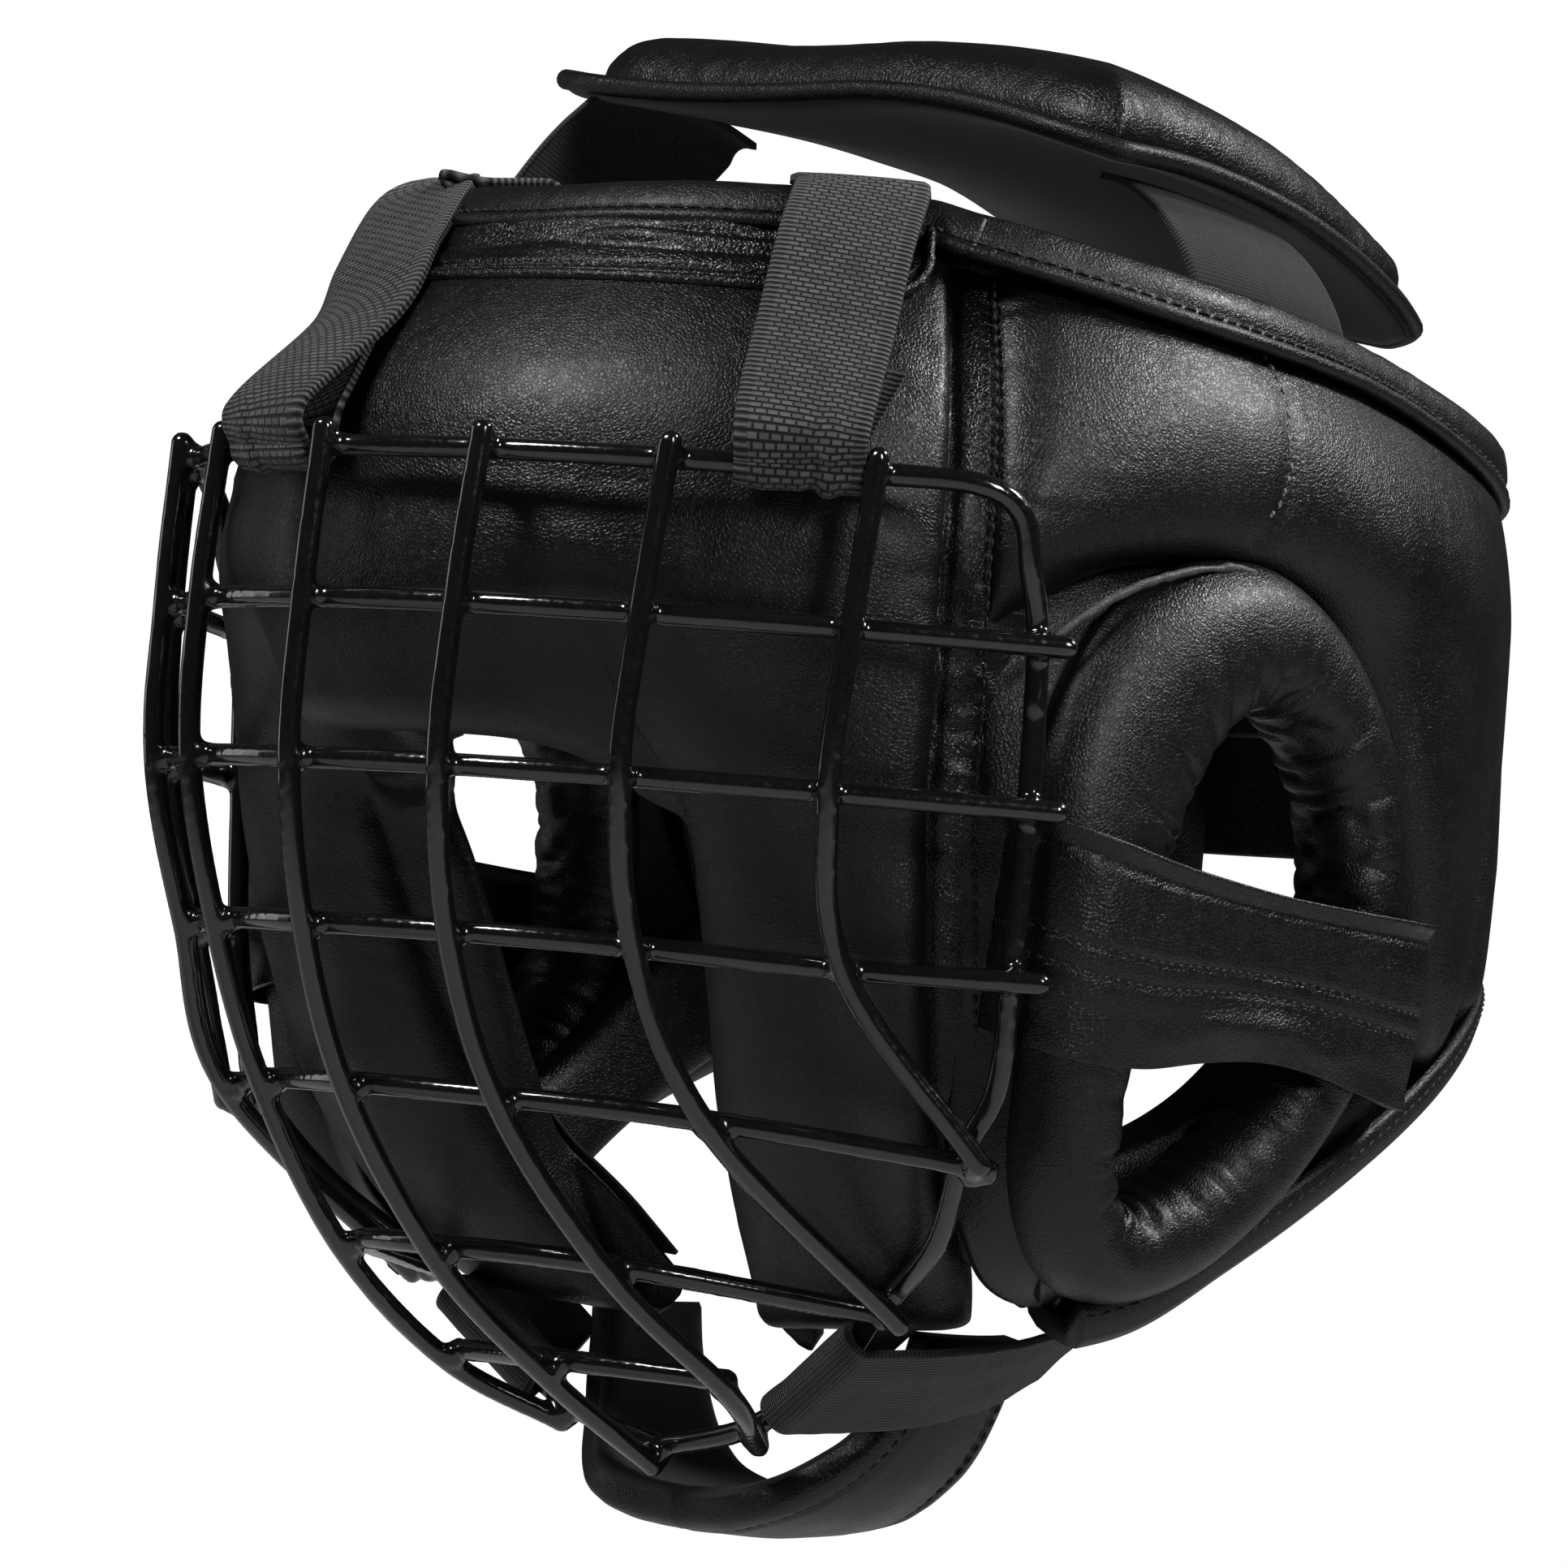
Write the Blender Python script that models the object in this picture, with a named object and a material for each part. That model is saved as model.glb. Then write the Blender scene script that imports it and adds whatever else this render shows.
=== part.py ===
"""Boxing headgear: a padded leather headguard with a coated wire face cage.

Millimetres here, metres in the scene. The origin is the centre of the head it is worn on:
+Z up, -Y the way the face looks, +X the wearer's left. Angle t runs round the head from the
front (0) over the wearer's left (+90) to the back (180).
"""
import bmesh
import bpy
import numpy as np

MM = 0.001

# Headguard shell
HALF_WIDTH = 112.0
HALF_DEPTH_FRONT = 137.0
HALF_DEPTH_REAR = 139.0
LEATHER = 1.6
FOAM = 20.0
LINING = 1.4
GAP = 0.35
PUFF = 3.0
SEAM_T = 57.0          # where the front panel ends
INNER_T = 22.3         # where the cheeks end, at the face opening
BROW_LOW_Z = 27.0
CLOSE_Z = 70.0         # above this height the shell closes in over the skull
TEMPLE_END_T = 109.5
REAR_END_T = 168.0
JAW_SIDE_T = (76.0, 109.0)    # pad under the ear hoop

# Cage
WIRE_R = 2.2
LAYER = 2.65           # half the spacing between crossing layers of wire
HINGE_Y = -118.0
HINGE_Z = 81.0
STRAP_X = 79.0         # where the left strap holds the top wire
STRAP_X_RIGHT = 18.2   # the right one, which has slid along it

# Ear hoop
HOOP_X = 104.0

for old in list(bpy.data.objects):
    bpy.data.objects.remove(old, do_unlink=True)


def material(name, colour, rough, metal=0.0):
    made = bpy.data.materials.new(name)
    made.use_nodes = True
    shader = made.node_tree.nodes["Principled BSDF"]
    shader.inputs["Base Color"].default_value = (*colour, 1.0)
    shader.inputs["Roughness"].default_value = rough
    shader.inputs["Metallic"].default_value = metal
    made.diffuse_color = (*colour, 1.0)
    return made


LEATHER_MAT = material("black_leather", (0.022, 0.022, 0.024), 0.42)
LINING_MAT = material("suede_lining", (0.035, 0.035, 0.038), 0.9)
FOAM_MAT = material("dense_foam", (0.10, 0.10, 0.11), 0.95)
BINDING_MAT = material("edge_binding", (0.018, 0.018, 0.02), 0.5)
ELASTIC_MAT = material("knit_elastic", (0.06, 0.06, 0.065), 0.85)
WEBBING_MAT = material("nylon_webbing", (0.05, 0.05, 0.055), 0.7)
WIRE_MAT = material("coated_steel_wire", (0.012, 0.012, 0.013), 0.2)
HOOK_MAT = material("hook_tape", (0.03, 0.03, 0.032), 0.95)
LABEL_MAT = material("blank_label", (0.7, 0.7, 0.7), 0.7)


def add_mesh(name, points, faces, mat, pivot=(0.0, 0.0, 0.0)):
    """One closed body, its faces turned outwards."""
    mesh = bpy.data.meshes.new(name)
    origin = np.array(pivot, float)
    mesh.from_pydata(((np.array(points) - origin) * MM).tolist(), [], faces)
    made = bmesh.new()
    made.from_mesh(mesh)
    bmesh.ops.remove_doubles(made, verts=made.verts, dist=1e-6)
    bmesh.ops.recalc_face_normals(made, faces=made.faces)
    if made.calc_volume(signed=True) < 0:
        bmesh.ops.reverse_faces(made, faces=made.faces)
    made.to_mesh(mesh)
    made.free()
    mesh.materials.append(mat)
    for polygon in mesh.polygons:
        polygon.use_smooth = True
    obj = bpy.data.objects.new(name, mesh)
    obj.location = (origin * MM).tolist()
    bpy.context.scene.collection.objects.link(obj)
    return obj


def unit(v):
    v = np.asarray(v, float)
    return v / np.maximum(np.linalg.norm(v, axis=-1, keepdims=True), 1e-12)


def mirrored(points):
    return np.asarray(points) * np.array([-1.0, 1.0, 1.0])


def catmull(points, count):
    """Smooth curve through the points, spaced evenly along its length."""
    p = np.asarray(points, float)
    ext = np.vstack([2 * p[0] - p[1], p, 2 * p[-1] - p[-2]])
    out = []
    for i in range(len(p) - 1):
        a, b, c, d = ext[i], ext[i + 1], ext[i + 2], ext[i + 3]
        for u in np.linspace(0, 1, 24, endpoint=False):
            out.append(0.5 * (2 * b + (c - a) * u + (2 * a - 5 * b + 4 * c - d) * u ** 2
                              + (3 * b - a - 3 * c + d) * u ** 3))
    out.append(p[-1])
    out = np.array(out)
    run = np.r_[0, np.cumsum(np.linalg.norm(np.diff(out, axis=0), axis=1))]
    at = np.linspace(0, run[-1], count)
    return np.stack([np.interp(at, run, out[:, k]) for k in range(3)], -1)


def frames_along(path, first, closed=False):
    """Tangent, side and up vectors carried along a path without twist."""
    if closed:
        tangents = unit(np.roll(path, -1, 0) - np.roll(path, 1, 0))
    else:
        tangents = unit(np.gradient(path, axis=0))
    side = unit(first - np.dot(first, tangents[0]) * tangents[0])
    sides = []
    for t in tangents:
        side = unit(side - np.dot(side, t) * t)
        sides.append(side)
    sides = np.array(sides)
    return tangents, sides, np.cross(tangents, sides)


def loft(name, rings, mat, closed=False, pivot=(0, 0, 0)):
    """Joins rings of equal size into one closed body, with caps unless it closes on itself."""
    rings = np.asarray(rings)
    count, size = rings.shape[:2]
    points = rings.reshape(-1, 3).tolist()
    faces = []
    last = count if closed else count - 1
    for i in range(last):
        j = (i + 1) % count
        for k in range(size):
            m = (k + 1) % size
            faces.append((i * size + k, i * size + m, j * size + m, j * size + k))
    if not closed:
        faces.append(tuple(range(size)))
        faces.append(tuple((count - 1) * size + k for k in range(size)))
    return add_mesh(name, points, faces, mat, pivot)


def tube(name, path, radius, mat, sides=8, closed=False, pivot=(0, 0, 0), first=(0.3, 0.2, 1.0)):
    path = np.asarray(path, float)
    _, side, up = frames_along(path, np.array(first, float), closed)
    turn = np.linspace(0, 2 * np.pi, sides, endpoint=False)
    radius = np.broadcast_to(np.asarray(radius, float), (len(path),))
    rings = [
        path[i] + radius[i] * (np.cos(turn)[:, None] * side[i] + np.sin(turn)[:, None] * up[i])
        for i in range(len(path))
    ]
    return loft(name, rings, mat, closed, pivot)


def ribbon(name, path, across, width, thick, mat, closed=False, pivot=(0, 0, 0)):
    """A flat strap: `across` is the width direction at each point of the path."""
    path = np.asarray(path, float)
    across = np.broadcast_to(np.asarray(across, float), path.shape)
    if closed:
        tangents = unit(np.roll(path, -1, 0) - np.roll(path, 1, 0))
    else:
        tangents = unit(np.gradient(path, axis=0))
    across = unit(across - (across * tangents).sum(1, keepdims=True) * tangents)
    up = np.cross(tangents, across)
    width = np.broadcast_to(np.asarray(width, float), (len(path),))
    rings = []
    for i in range(len(path)):
        w, h = across[i] * width[i] / 2, up[i] * thick / 2
        rings.append([path[i] - w - h, path[i] + w - h, path[i] + w + h, path[i] - w + h])
    return loft(name, rings, mat, closed, pivot)


def slab(name, outer, inner, mat, pivot=(0, 0, 0)):
    """A sheet with thickness, between two grids of points."""
    outer, inner = np.asarray(outer), np.asarray(inner)
    rows, cols = outer.shape[:2]
    points = np.vstack([outer.reshape(-1, 3), inner.reshape(-1, 3)]).tolist()
    shift = rows * cols
    faces = []
    for i in range(rows - 1):
        for j in range(cols - 1):
            a, b, c, d = i * cols + j, i * cols + j + 1, (i + 1) * cols + j + 1, (i + 1) * cols + j
            faces.append((a, b, c, d))
            faces.append((a + shift, d + shift, c + shift, b + shift))
    rim = [(0, j) for j in range(cols)]
    rim += [(i, cols - 1) for i in range(1, rows)]
    rim += [(rows - 1, j) for j in range(cols - 2, -1, -1)]
    rim += [(i, 0) for i in range(rows - 2, 0, -1)]
    flat = [i * cols + j for i, j in rim]
    for k in range(len(flat)):
        a, b = flat[k], flat[(k + 1) % len(flat)]
        faces.append((a, b, b + shift, a + shift))
    return add_mesh(name, points, faces, mat, pivot)


# ---------------------------------------------------------------- shell shape

RIM_T = [0, 35, 52, 60, 80, 112, 137, 180]
RIM_Z = [129.5, 131, 130.5, 128, 121.5, 113.5, 103.5, 99]
RIM_SCALE = [0.70, 0.70, 0.69, 0.74, 0.815, 0.845, 0.965, 0.98]

# Front panel seen from above at five stations, from the seam to the face opening
CHEEK_Z = [60, 42, 26, 8, -6, -22, -38, -56, -70, -84]
CHEEK_XY = [
    [(94, -74.6), (87, -86.5), (75.6, -101), (60, -115.7), (42.5, -126.8)],
    [(94, -74.0), (87, -85), (75.2, -97.5), (60, -108), (42.5, -113)],
    [(93.5, -73.5), (86.5, -83.5), (75, -93), (60, -98.5), (42.5, -97)],
    [(93, -71.5), (86, -80.5), (74, -87.5), (58, -91), (41.5, -87)],
    [(92, -69), (85, -77.5), (72, -84), (56, -86.5), (39, -81)],
    [(89.5, -64), (82.5, -72.5), (69, -78.5), (53, -80), (36, -74)],
    [(86, -57), (79.5, -65.5), (66, -71), (49.5, -72), (31.5, -66)],
    [(80, -45), (73.5, -52), (60.5, -57.5), (44, -59.5), (25.5, -54)],
    [(73, -32), (66, -38), (53.5, -43), (37, -46), (18, -42)],
    [(64, -20), (57, -26), (45.5, -31), (30, -34), (11, -31)],
]


def cheek_point(t, z):
    """Front panel between the face opening and the seam, below the brow."""
    s = (SEAM_T - t) / (SEAM_T - INNER_T)
    heights = np.array(CHEEK_Z[::-1], float)
    stations = np.array(CHEEK_XY[::-1], float)
    table = np.stack([
        np.stack([np.interp(z, heights, stations[:, k, axis]) for k in range(5)], -1)
        for axis in range(2)
    ], -1)
    # quadratic blend between stations keeps the section round
    at = np.clip(s, 0, 1) * 4
    k = int(min(np.floor(at), 3))
    f = at - k
    p = np.vstack([2 * table[0] - table[1], table, 2 * table[4] - table[3]])
    a, b, c, d = p[k], p[k + 1], p[k + 2], p[k + 3]
    xy = 0.5 * (2 * b + (c - a) * f + (2 * a - 5 * b + 4 * c - d) * f ** 2
                + (3 * b - a - 3 * c + d) * f ** 3)
    return np.array([xy[0], xy[1], z])


def ellipse_point(t, z):
    rad = np.radians(t)
    depth = HALF_DEPTH_FRONT if t < 90 else HALF_DEPTH_REAR
    scale = 1.0
    top = np.interp(t, RIM_T, RIM_Z)
    if z > CLOSE_Z:
        q = min((z - CLOSE_Z) / (top - CLOSE_Z), 1.05)
        scale = 1 - (1 - np.interp(t, RIM_T, RIM_SCALE)) * q ** 1.75
    elif z < 0:
        scale = 1 - 0.12 * (-z / 60.0) ** 1.3
    return np.array([HALF_WIDTH * np.sin(rad) * scale, -depth * np.cos(rad) * scale, z])


def shell(t, z):
    """Point of the outer surface at angle t and height z."""
    side = 1.0 if t >= 0 else -1.0
    t = abs(t)
    if t > SEAM_T or z >= 60:
        p = ellipse_point(t, z)
    elif t >= INNER_T:
        p = cheek_point(t, z)
    else:
        edge = cheek_point(INNER_T, z)
        mid = np.array([0.0, -HALF_DEPTH_FRONT + 6.0 * ((60 - z) / 34.0) ** 2, z])
        u = t / INNER_T
        edge_ellipse = ellipse_point(INNER_T, z)
        round_y = ellipse_point(t, z)[1] + (mid[1] + HALF_DEPTH_FRONT)
        drop = edge[1] - (edge_ellipse[1] + mid[1] + HALF_DEPTH_FRONT)
        p = np.array([edge[0] * np.sin(np.radians(t)) / np.sin(np.radians(INNER_T)),
                      round_y + drop * u ** 4, z])
    return p * np.array([side, 1.0, 1.0])


def shell_normal(t, z):
    dt, dz = 0.6, 0.8
    across = shell(t + dt, z) - shell(t - dt, z)
    rise = shell(t, z + dz) - shell(t, z - dz)
    return unit(np.cross(across, rise))


def puff(u, v, power=4):
    return (1 - abs(2 * u - 1) ** power) * (1 - abs(2 * v - 1) ** power)


def panel_grid(t0, t1, low, high, cols, rows, depth, bulge):
    """Grid of points `depth` under the surface of a panel, plus its padded bulge."""
    grid = np.zeros((rows, cols, 3))
    for j, u in enumerate(np.linspace(0, 1, cols)):
        t = t0 + (t1 - t0) * u
        z0, z1 = low(t), high(t)
        for i, v in enumerate(np.linspace(0, 1, rows)):
            z = z0 + (z1 - z0) * v
            lift = bulge * puff(u, v)
            grid[i, j] = shell(t, z) + shell_normal(t, z) * (lift - depth)
    return grid


def panel(name, t0, t1, low, high, cols, rows, lining=True, foam=FOAM):
    """Leather outside, foam in the middle, lining against the head."""
    def layer(kind, d0, d1, b0, b1, mat):
        outer = panel_grid(t0, t1, low, high, cols, rows, d0, b0)
        inner = panel_grid(t0, t1, low, high, cols, rows, d1, b1)
        slab(name[0] + "_" + kind + name[1], outer, inner, mat)
    layer("leather", 0, LEATHER, PUFF, PUFF, LEATHER_MAT)
    layer("foam", LEATHER + GAP, foam, PUFF, 0, FOAM_MAT)
    if lining:
        layer("lining", foam + GAP, foam + GAP + LINING, 0, 0, LINING_MAT)


def rim_z(t):
    return float(np.interp(abs(t), RIM_T, RIM_Z))


def cheek_low(t):
    return float(np.interp(abs(t), [22, 35, 45, 57], [-75, -70, -66, -66]))


def temple_low(t):
    return float(np.interp(abs(t), [58, 66, 75, 84, 95, 103, 110], [52, 62, 71, 74, 69, 58, 44]))


def jaw_side_low(t):
    return float(np.interp(abs(t), [69, 84, 92, 104, 109], [-73, -68, -57, -40, -34]))


def jaw_side_high(t):
    return float(np.interp(abs(t), [69, 76, 84, 95, 104, 109], [-52, -50, -47, -36, -18, -6]))


def rear_low(t):
    return float(np.interp(abs(t), [109, 117, 130, 144, 180], [-32, -22, -10, 0, 4]))


def build_shell():
    panel(("brow", ""), -SEAM_T + 0.6, SEAM_T - 0.6, lambda t: BROW_LOW_Z,
          lambda t: rim_z(t) - 1, 21, 7)
    for side, tag in ((1, "_left"), (-1, "_right")):
        inner, outer = sorted((side * (INNER_T + 0.3), side * (SEAM_T - 0.6)))
        panel(("cheek", tag), inner, outer, cheek_low, lambda t: BROW_LOW_Z - 1.7, 6, 8,
              foam=19.0)
        inner, outer = sorted((side * (SEAM_T + 1.4), side * TEMPLE_END_T))
        panel(("temple", tag), inner, outer, temple_low, lambda t: rim_z(t) - 1, 9, 5,
              lining=False)
        inner, outer = sorted((side * JAW_SIDE_T[0], side * JAW_SIDE_T[1]))
        slab("jaw_side" + tag,
             panel_grid(inner, outer, jaw_side_low, jaw_side_high, 8, 4, 15.0, 0),
             panel_grid(inner, outer, jaw_side_low, jaw_side_high, 8, 4, 24.0, 0), LEATHER_MAT)
        inner, outer = sorted((side * (TEMPLE_END_T + 1.0), side * REAR_END_T))
        panel(("rear", tag), inner, outer, rear_low, lambda t: rim_z(t) - 1, 8, 7)


def rim_path(t0, t1, count, rise):
    points = []
    for t in np.linspace(t0, t1, count):
        z = rim_z(t)
        n = shell_normal(t, z - 2)
        base = shell(t, z - 1)
        points.append(base - n * 5.0 + np.array([0, 0, rise]))
    return np.array(points)


def bound_edge(name, path, outward, width, height, mat):
    """Folded leather binding along a panel edge, an oval section."""
    turn = np.linspace(0, 2 * np.pi, 8, endpoint=False)
    tangents = unit(np.gradient(path, axis=0))
    rings = []
    for i in range(len(path)):
        out = unit(outward[i] - np.dot(outward[i], tangents[i]) * tangents[i])
        up = np.cross(tangents[i], out)
        rings.append(path[i] + np.cos(turn)[:, None] * out * width / 2
                     + np.sin(turn)[:, None] * up * height / 2)
    return loft(name, rings, mat)


def build_bindings():
    for name, t0, t1, count in (("rim_binding_front", -58.5, 58.5, 22),
                                ("rim_binding_left", 59.3, REAR_END_T, 16),
                                ("rim_binding_right", -REAR_END_T, -59.3, 16)):
        path = rim_path(t0, t1, count, 5.6)
        outward = np.array([shell_normal(t, rim_z(t) - 6) for t in np.linspace(t0, t1, count)])
        bound_edge(name, path, outward, 12.0, 5.6, BINDING_MAT)
    for side, tag in ((1, "_left"), (-1, "_right")):
        ts = np.linspace(112.0, REAR_END_T, 10)
        path, outward = [], []
        for t in ts:
            n = shell_normal(t, rear_low(t) + 3)
            path.append(shell(t, rear_low(t)) - n * 9.0 - np.array([0, 0, 3.4]))
            outward.append(n)
        path, outward = np.array(path), np.array(outward)
        if side < 0:
            path, outward = mirrored(path), mirrored(outward)
        bound_edge("nape_binding" + tag, path, outward, 17.0, 5.0, BINDING_MAT)


def build_flap():
    """Thin leather flap hanging over the top of the brow, under the cage straps."""
    cols, rows = 19, 4
    span = 50.0
    outer = np.zeros((rows, cols, 3))
    inner = np.zeros((rows, cols, 3))
    for j, u in enumerate(np.linspace(-1, 1, cols)):
        t = span * u
        low = 116.0 + 8.0 * abs(u) ** 8
        for i, v in enumerate(np.linspace(0, 1, rows)):
            z = low + (rim_z(t) - 4.0 - low) * v
            n = shell_normal(t, z)
            brow_v = (z - BROW_LOW_Z) / (rim_z(t) - 1 - BROW_LOW_Z)
            lift = PUFF * puff((t + SEAM_T - 0.6) / (2 * SEAM_T - 1.2), brow_v)
            base = shell(t, z)
            outer[i, j] = base + n * (lift + GAP + 0.6 + 1.5)
            inner[i, j] = base + n * (lift + GAP + 0.6)
    slab("brow_flap", outer, inner, LEATHER_MAT)


# ---------------------------------------------------------------- ear hoops

# centre line (y, z) and the half-width of the padded ring there
HOOP = [(-8, 57, 10.5), (12, 49, 10), (25, 31, 9.5), (28, 8, 9.5), (23, -15, 9.5),
        (8, -37, 10), (-12, -52, 10.5), (-31, -56, 10), (-42.5, -43, 9.5), (-45, -20, 10.5),
        (-45.5, 3, 13), (-42, 26, 15.5), (-29, 47, 13.5)]


def hoop_x(z):
    return HOOP_X - (8.0 * (-z / 60.0) ** 1.3 if z < 0 else 0.0)


def hoop_rings(count=26, sides=8):
    p = np.array(HOOP, float)
    loop = np.vstack([p, p[:3]])
    fine = []
    for i in range(len(p)):
        a, b, c, d = loop[(i - 1) % len(p)], loop[i], loop[i + 1], loop[i + 2]
        for u in np.linspace(0, 1, 12, endpoint=False):
            fine.append(0.5 * (2 * b + (c - a) * u + (2 * a - 5 * b + 4 * c - d) * u ** 2
                               + (3 * b - a - 3 * c + d) * u ** 3))
    fine = np.array(fine)
    pick = fine[np.linspace(0, len(fine), count, endpoint=False).astype(int)]
    nxt, prv = np.roll(pick, -1, 0), np.roll(pick, 1, 0)
    turn = np.linspace(0, 2 * np.pi, sides, endpoint=False) + np.pi / sides
    rings = []
    for i in range(count):
        tangent = unit(np.array([0.0, *(nxt[i, :2] - prv[i, :2])]))
        radial = np.cross(tangent, np.array([1.0, 0, 0]))
        centre = np.array([hoop_x(pick[i, 1]), pick[i, 0], pick[i, 1]])
        rings.append(centre + np.cos(turn)[:, None] * radial * pick[i, 2]
                     + np.sin(turn)[:, None] * np.array([1.0, 0, 0]) * 10.0)
    return np.array(rings)


def build_ears():
    rings = hoop_rings()
    loft("ear_hoop_left", rings, LEATHER_MAT, closed=True)
    loft("ear_hoop_right", mirrored(rings), LEATHER_MAT, closed=True)
    # the cuff: a leather band round both limbs of the hoop, open towards the head
    section = [(97, -60.5), (104, -61.5), (112, -60), (116.4, -54), (117.4, -40), (117.6, -20),
               (117.6, 0), (117.2, 20), (115.5, 34), (111, 40), (105, 41.2), (99, 40.5)]
    top = [21, 20.5, 19.5, 18, 16, 13.5, 11.5, 10.5, 10, 10, 10, 10]
    bottom = [-18, -19.5, -21, -22, -22, -20.5, -20, -21.5, -23.5, -24, -23, -22]
    count = len(section)
    line = np.array(section, float)
    outward = np.zeros_like(line)
    tangent = np.gradient(line, axis=0)
    outward[:, 0], outward[:, 1] = tangent[:, 1], -tangent[:, 0]
    outward /= np.linalg.norm(outward, axis=1, keepdims=True)
    grids = []
    for depth in (0.9, -0.9):
        grid = np.zeros((5, count, 3))
        for i, v in enumerate(np.linspace(0, 1, 5)):
            for j in range(count):
                z = bottom[j] + (top[j] - bottom[j]) * v
                slope = -0.14 * max(0.0, -z)
                grid[i, j] = [line[j, 0] + outward[j, 0] * depth + slope,
                              line[j, 1] + outward[j, 1] * depth, z]
        grids.append(grid)
    slab("ear_cuff_left", grids[0], grids[1], LEATHER_MAT)
    slab("ear_cuff_right", mirrored(grids[0]), mirrored(grids[1]), LEATHER_MAT)


# ---------------------------------------------------------------- crown pad

def crown_z(x, y):
    centre = np.interp(y, [-40, -28, 0, 30, 60, 90, 112, 130],
                       [177, 178, 178, 174, 166, 155, 145, 135])
    high_side = np.interp(y, [-40, 0, 60, 90, 112, 130], [177, 178, 177, 172, 162, 150])
    blend = np.clip((20.0 - x) / 80.0, 0, 1)
    centre = centre * (1 - blend) + high_side * blend
    return centre - (13.0 if x > 0 else -6.0) * (abs(x) / 75.0) ** 2.0


def build_crown():
    rows, cols = 11, 9

    def sheet(depth_top, grow, bulge):
        grid = np.zeros((rows, cols, 3))
        for i, v in enumerate(np.linspace(0, 1, rows)):
            y = -26.0 - grow + (131.0 + 2 * grow) * v
            half = np.interp(y, [-26, 60, 110], [76, 70, 50]) + grow
            for j, u in enumerate(np.linspace(-1, 1, cols)):
                x = half * u
                lift = bulge * (1 - abs(u) ** 4) * (1 - abs(2 * v - 1) ** 4)
                thin = 0.6 if y > 85 and depth_top > 10 else 1.0
                grid[i, j] = [x, y, crown_z(x, y) - depth_top * thin + lift - 4.0]
        return grid
    slab("crown_cover", sheet(0, 1.0, 4.0), sheet(LEATHER, 1.0, 4.0), LEATHER_MAT)
    slab("crown_foam", sheet(LEATHER + GAP, -1.0, 4.0), sheet(12.5, -1.0, 0.0), FOAM_MAT)
    # the tongue comes off the back of the pad and runs down between the rear halves
    line = catmull([(0, 108.5, 126), (0, 116, 117), (0, 119.5, 100), (0, 121, 78), (0, 121, 52)], 9)
    ribbon("rear_tongue", line, (1, 0, 0), 30.0, 7.0, LEATHER_MAT)
    for side, tag in ((1, "_left"), (-1, "_right")):
        if side > 0:
            path = catmull([(62, 12, 144.0), (71, 12, 142.6), (81, 10, 137.2), (89, 9, 128.6)], 7)
        else:
            path = catmull([(-60, -2, 161.0), (-70, -4, 159.5), (-80.5, -9, 147.0), (-88, -14, 131.4)], 7)
        ribbon("crown_elastic" + tag, path, (0, 1, -0.1), 44.0, 1.3, ELASTIC_MAT)


# ---------------------------------------------------------------- rear closure

REAR_HINGE = shell(-REAR_END_T + 11.0, 50.0) + unit([-0.35, 1, 0]) * 6.5


def build_rear():
    """Two rear halves closed by a wide hook-and-loop flap hinged on the wearer's right."""
    cols = 13
    outer, inner = np.zeros((4, cols, 3)), np.zeros((4, cols, 3))
    tape_out, tape_in = np.zeros((3, 5, 3)), np.zeros((3, 5, 3))
    low, high = 26.0, 78.0

    def at(t, z, lift):
        signed = t if t <= 180 else t - 360
        p = shell(signed, z)
        n = unit([p[0] / HALF_WIDTH ** 2, p[1] / HALF_DEPTH_REAR ** 2, 0])
        return p + n * lift
    for j, t in enumerate(np.linspace(152.0, 202.0, cols)):
        for i, z in enumerate(np.linspace(low, high, 4)):
            outer[i, j] = at(t, z, 8.6)
            inner[i, j] = at(t, z, 6.4)
    slab("rear_flap", outer, inner, LEATHER_MAT, tuple(REAR_HINGE))
    for j, t in enumerate(np.linspace(153.5, 165.5, 5)):
        for i, z in enumerate(np.linspace(low + 5, high - 5, 3)):
            tape_out[i, j] = at(t, z, 6.1)
            tape_in[i, j] = at(t, z, 4.9)
    slab("rear_hook_tape", tape_out, tape_in, HOOK_MAT, tuple(REAR_HINGE))
    for j, t in enumerate(np.linspace(153.0, 166.0, 5)):
        for i, z in enumerate(np.linspace(low + 4, high - 4, 3)):
            tape_out[i, j] = at(t, z, 4.6)
            tape_in[i, j] = at(t, z, 3.3)
    slab("rear_loop_tape", tape_out, tape_in, HOOK_MAT)
    label_out, label_in = np.zeros((2, 4, 3)), np.zeros((2, 4, 3))
    for j, t in enumerate(np.linspace(172.0, 188.0, 4)):
        for i, z in enumerate((42.0, 62.0)):
            label_out[i, j] = at(t, z, 10.0)
            label_in[i, j] = at(t, z, 9.0)
    slab("rear_label", label_out, label_in, LABEL_MAT, tuple(REAR_HINGE))


# ---------------------------------------------------------------- cage

# Crossing points on the wearer's left: rows from the top, then the lower end of each wire
CAGE = {
    "C": [(0, -148.5, 81), (0, -150.5, 52.5), (0, -150.5, 22.5), (0, -143.5, -8), (0, -129.5, -37.5),
          (0, -103, -67.3), (0, -72, -88), (0, -42, -104)],
    "D": [(34.5, -142, 81), (34, -145, 52.5), (33, -145, 22.5), (31, -137, -8), (31.3, -121.5, -37.8),
          (35, -94, -67.5), (36.5, -63, -88), (25.5, -42, -98)],
    "E": [(65, -125, 81), (63.5, -127.5, 52.5), (62, -128, 22.5), (60, -119, -8.3),
          (64, -101, -39), (62, -47.5, -72.5)],
    "F": [(92, -99.5, 81), (90.5, -101.5, 52.5), (88, -101.5, 22.5), (86.5, -92.5, -9),
          (101, -68, -42.5)],
    "G": [(113, -76, 81), (114, -72.5, 52.5), (113, -70.5, 22.5), (111, -69.5, -9),
          (101, -68, -42.5)],
}
PIVOT = (0.0, HINGE_Y, HINGE_Z)


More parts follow.
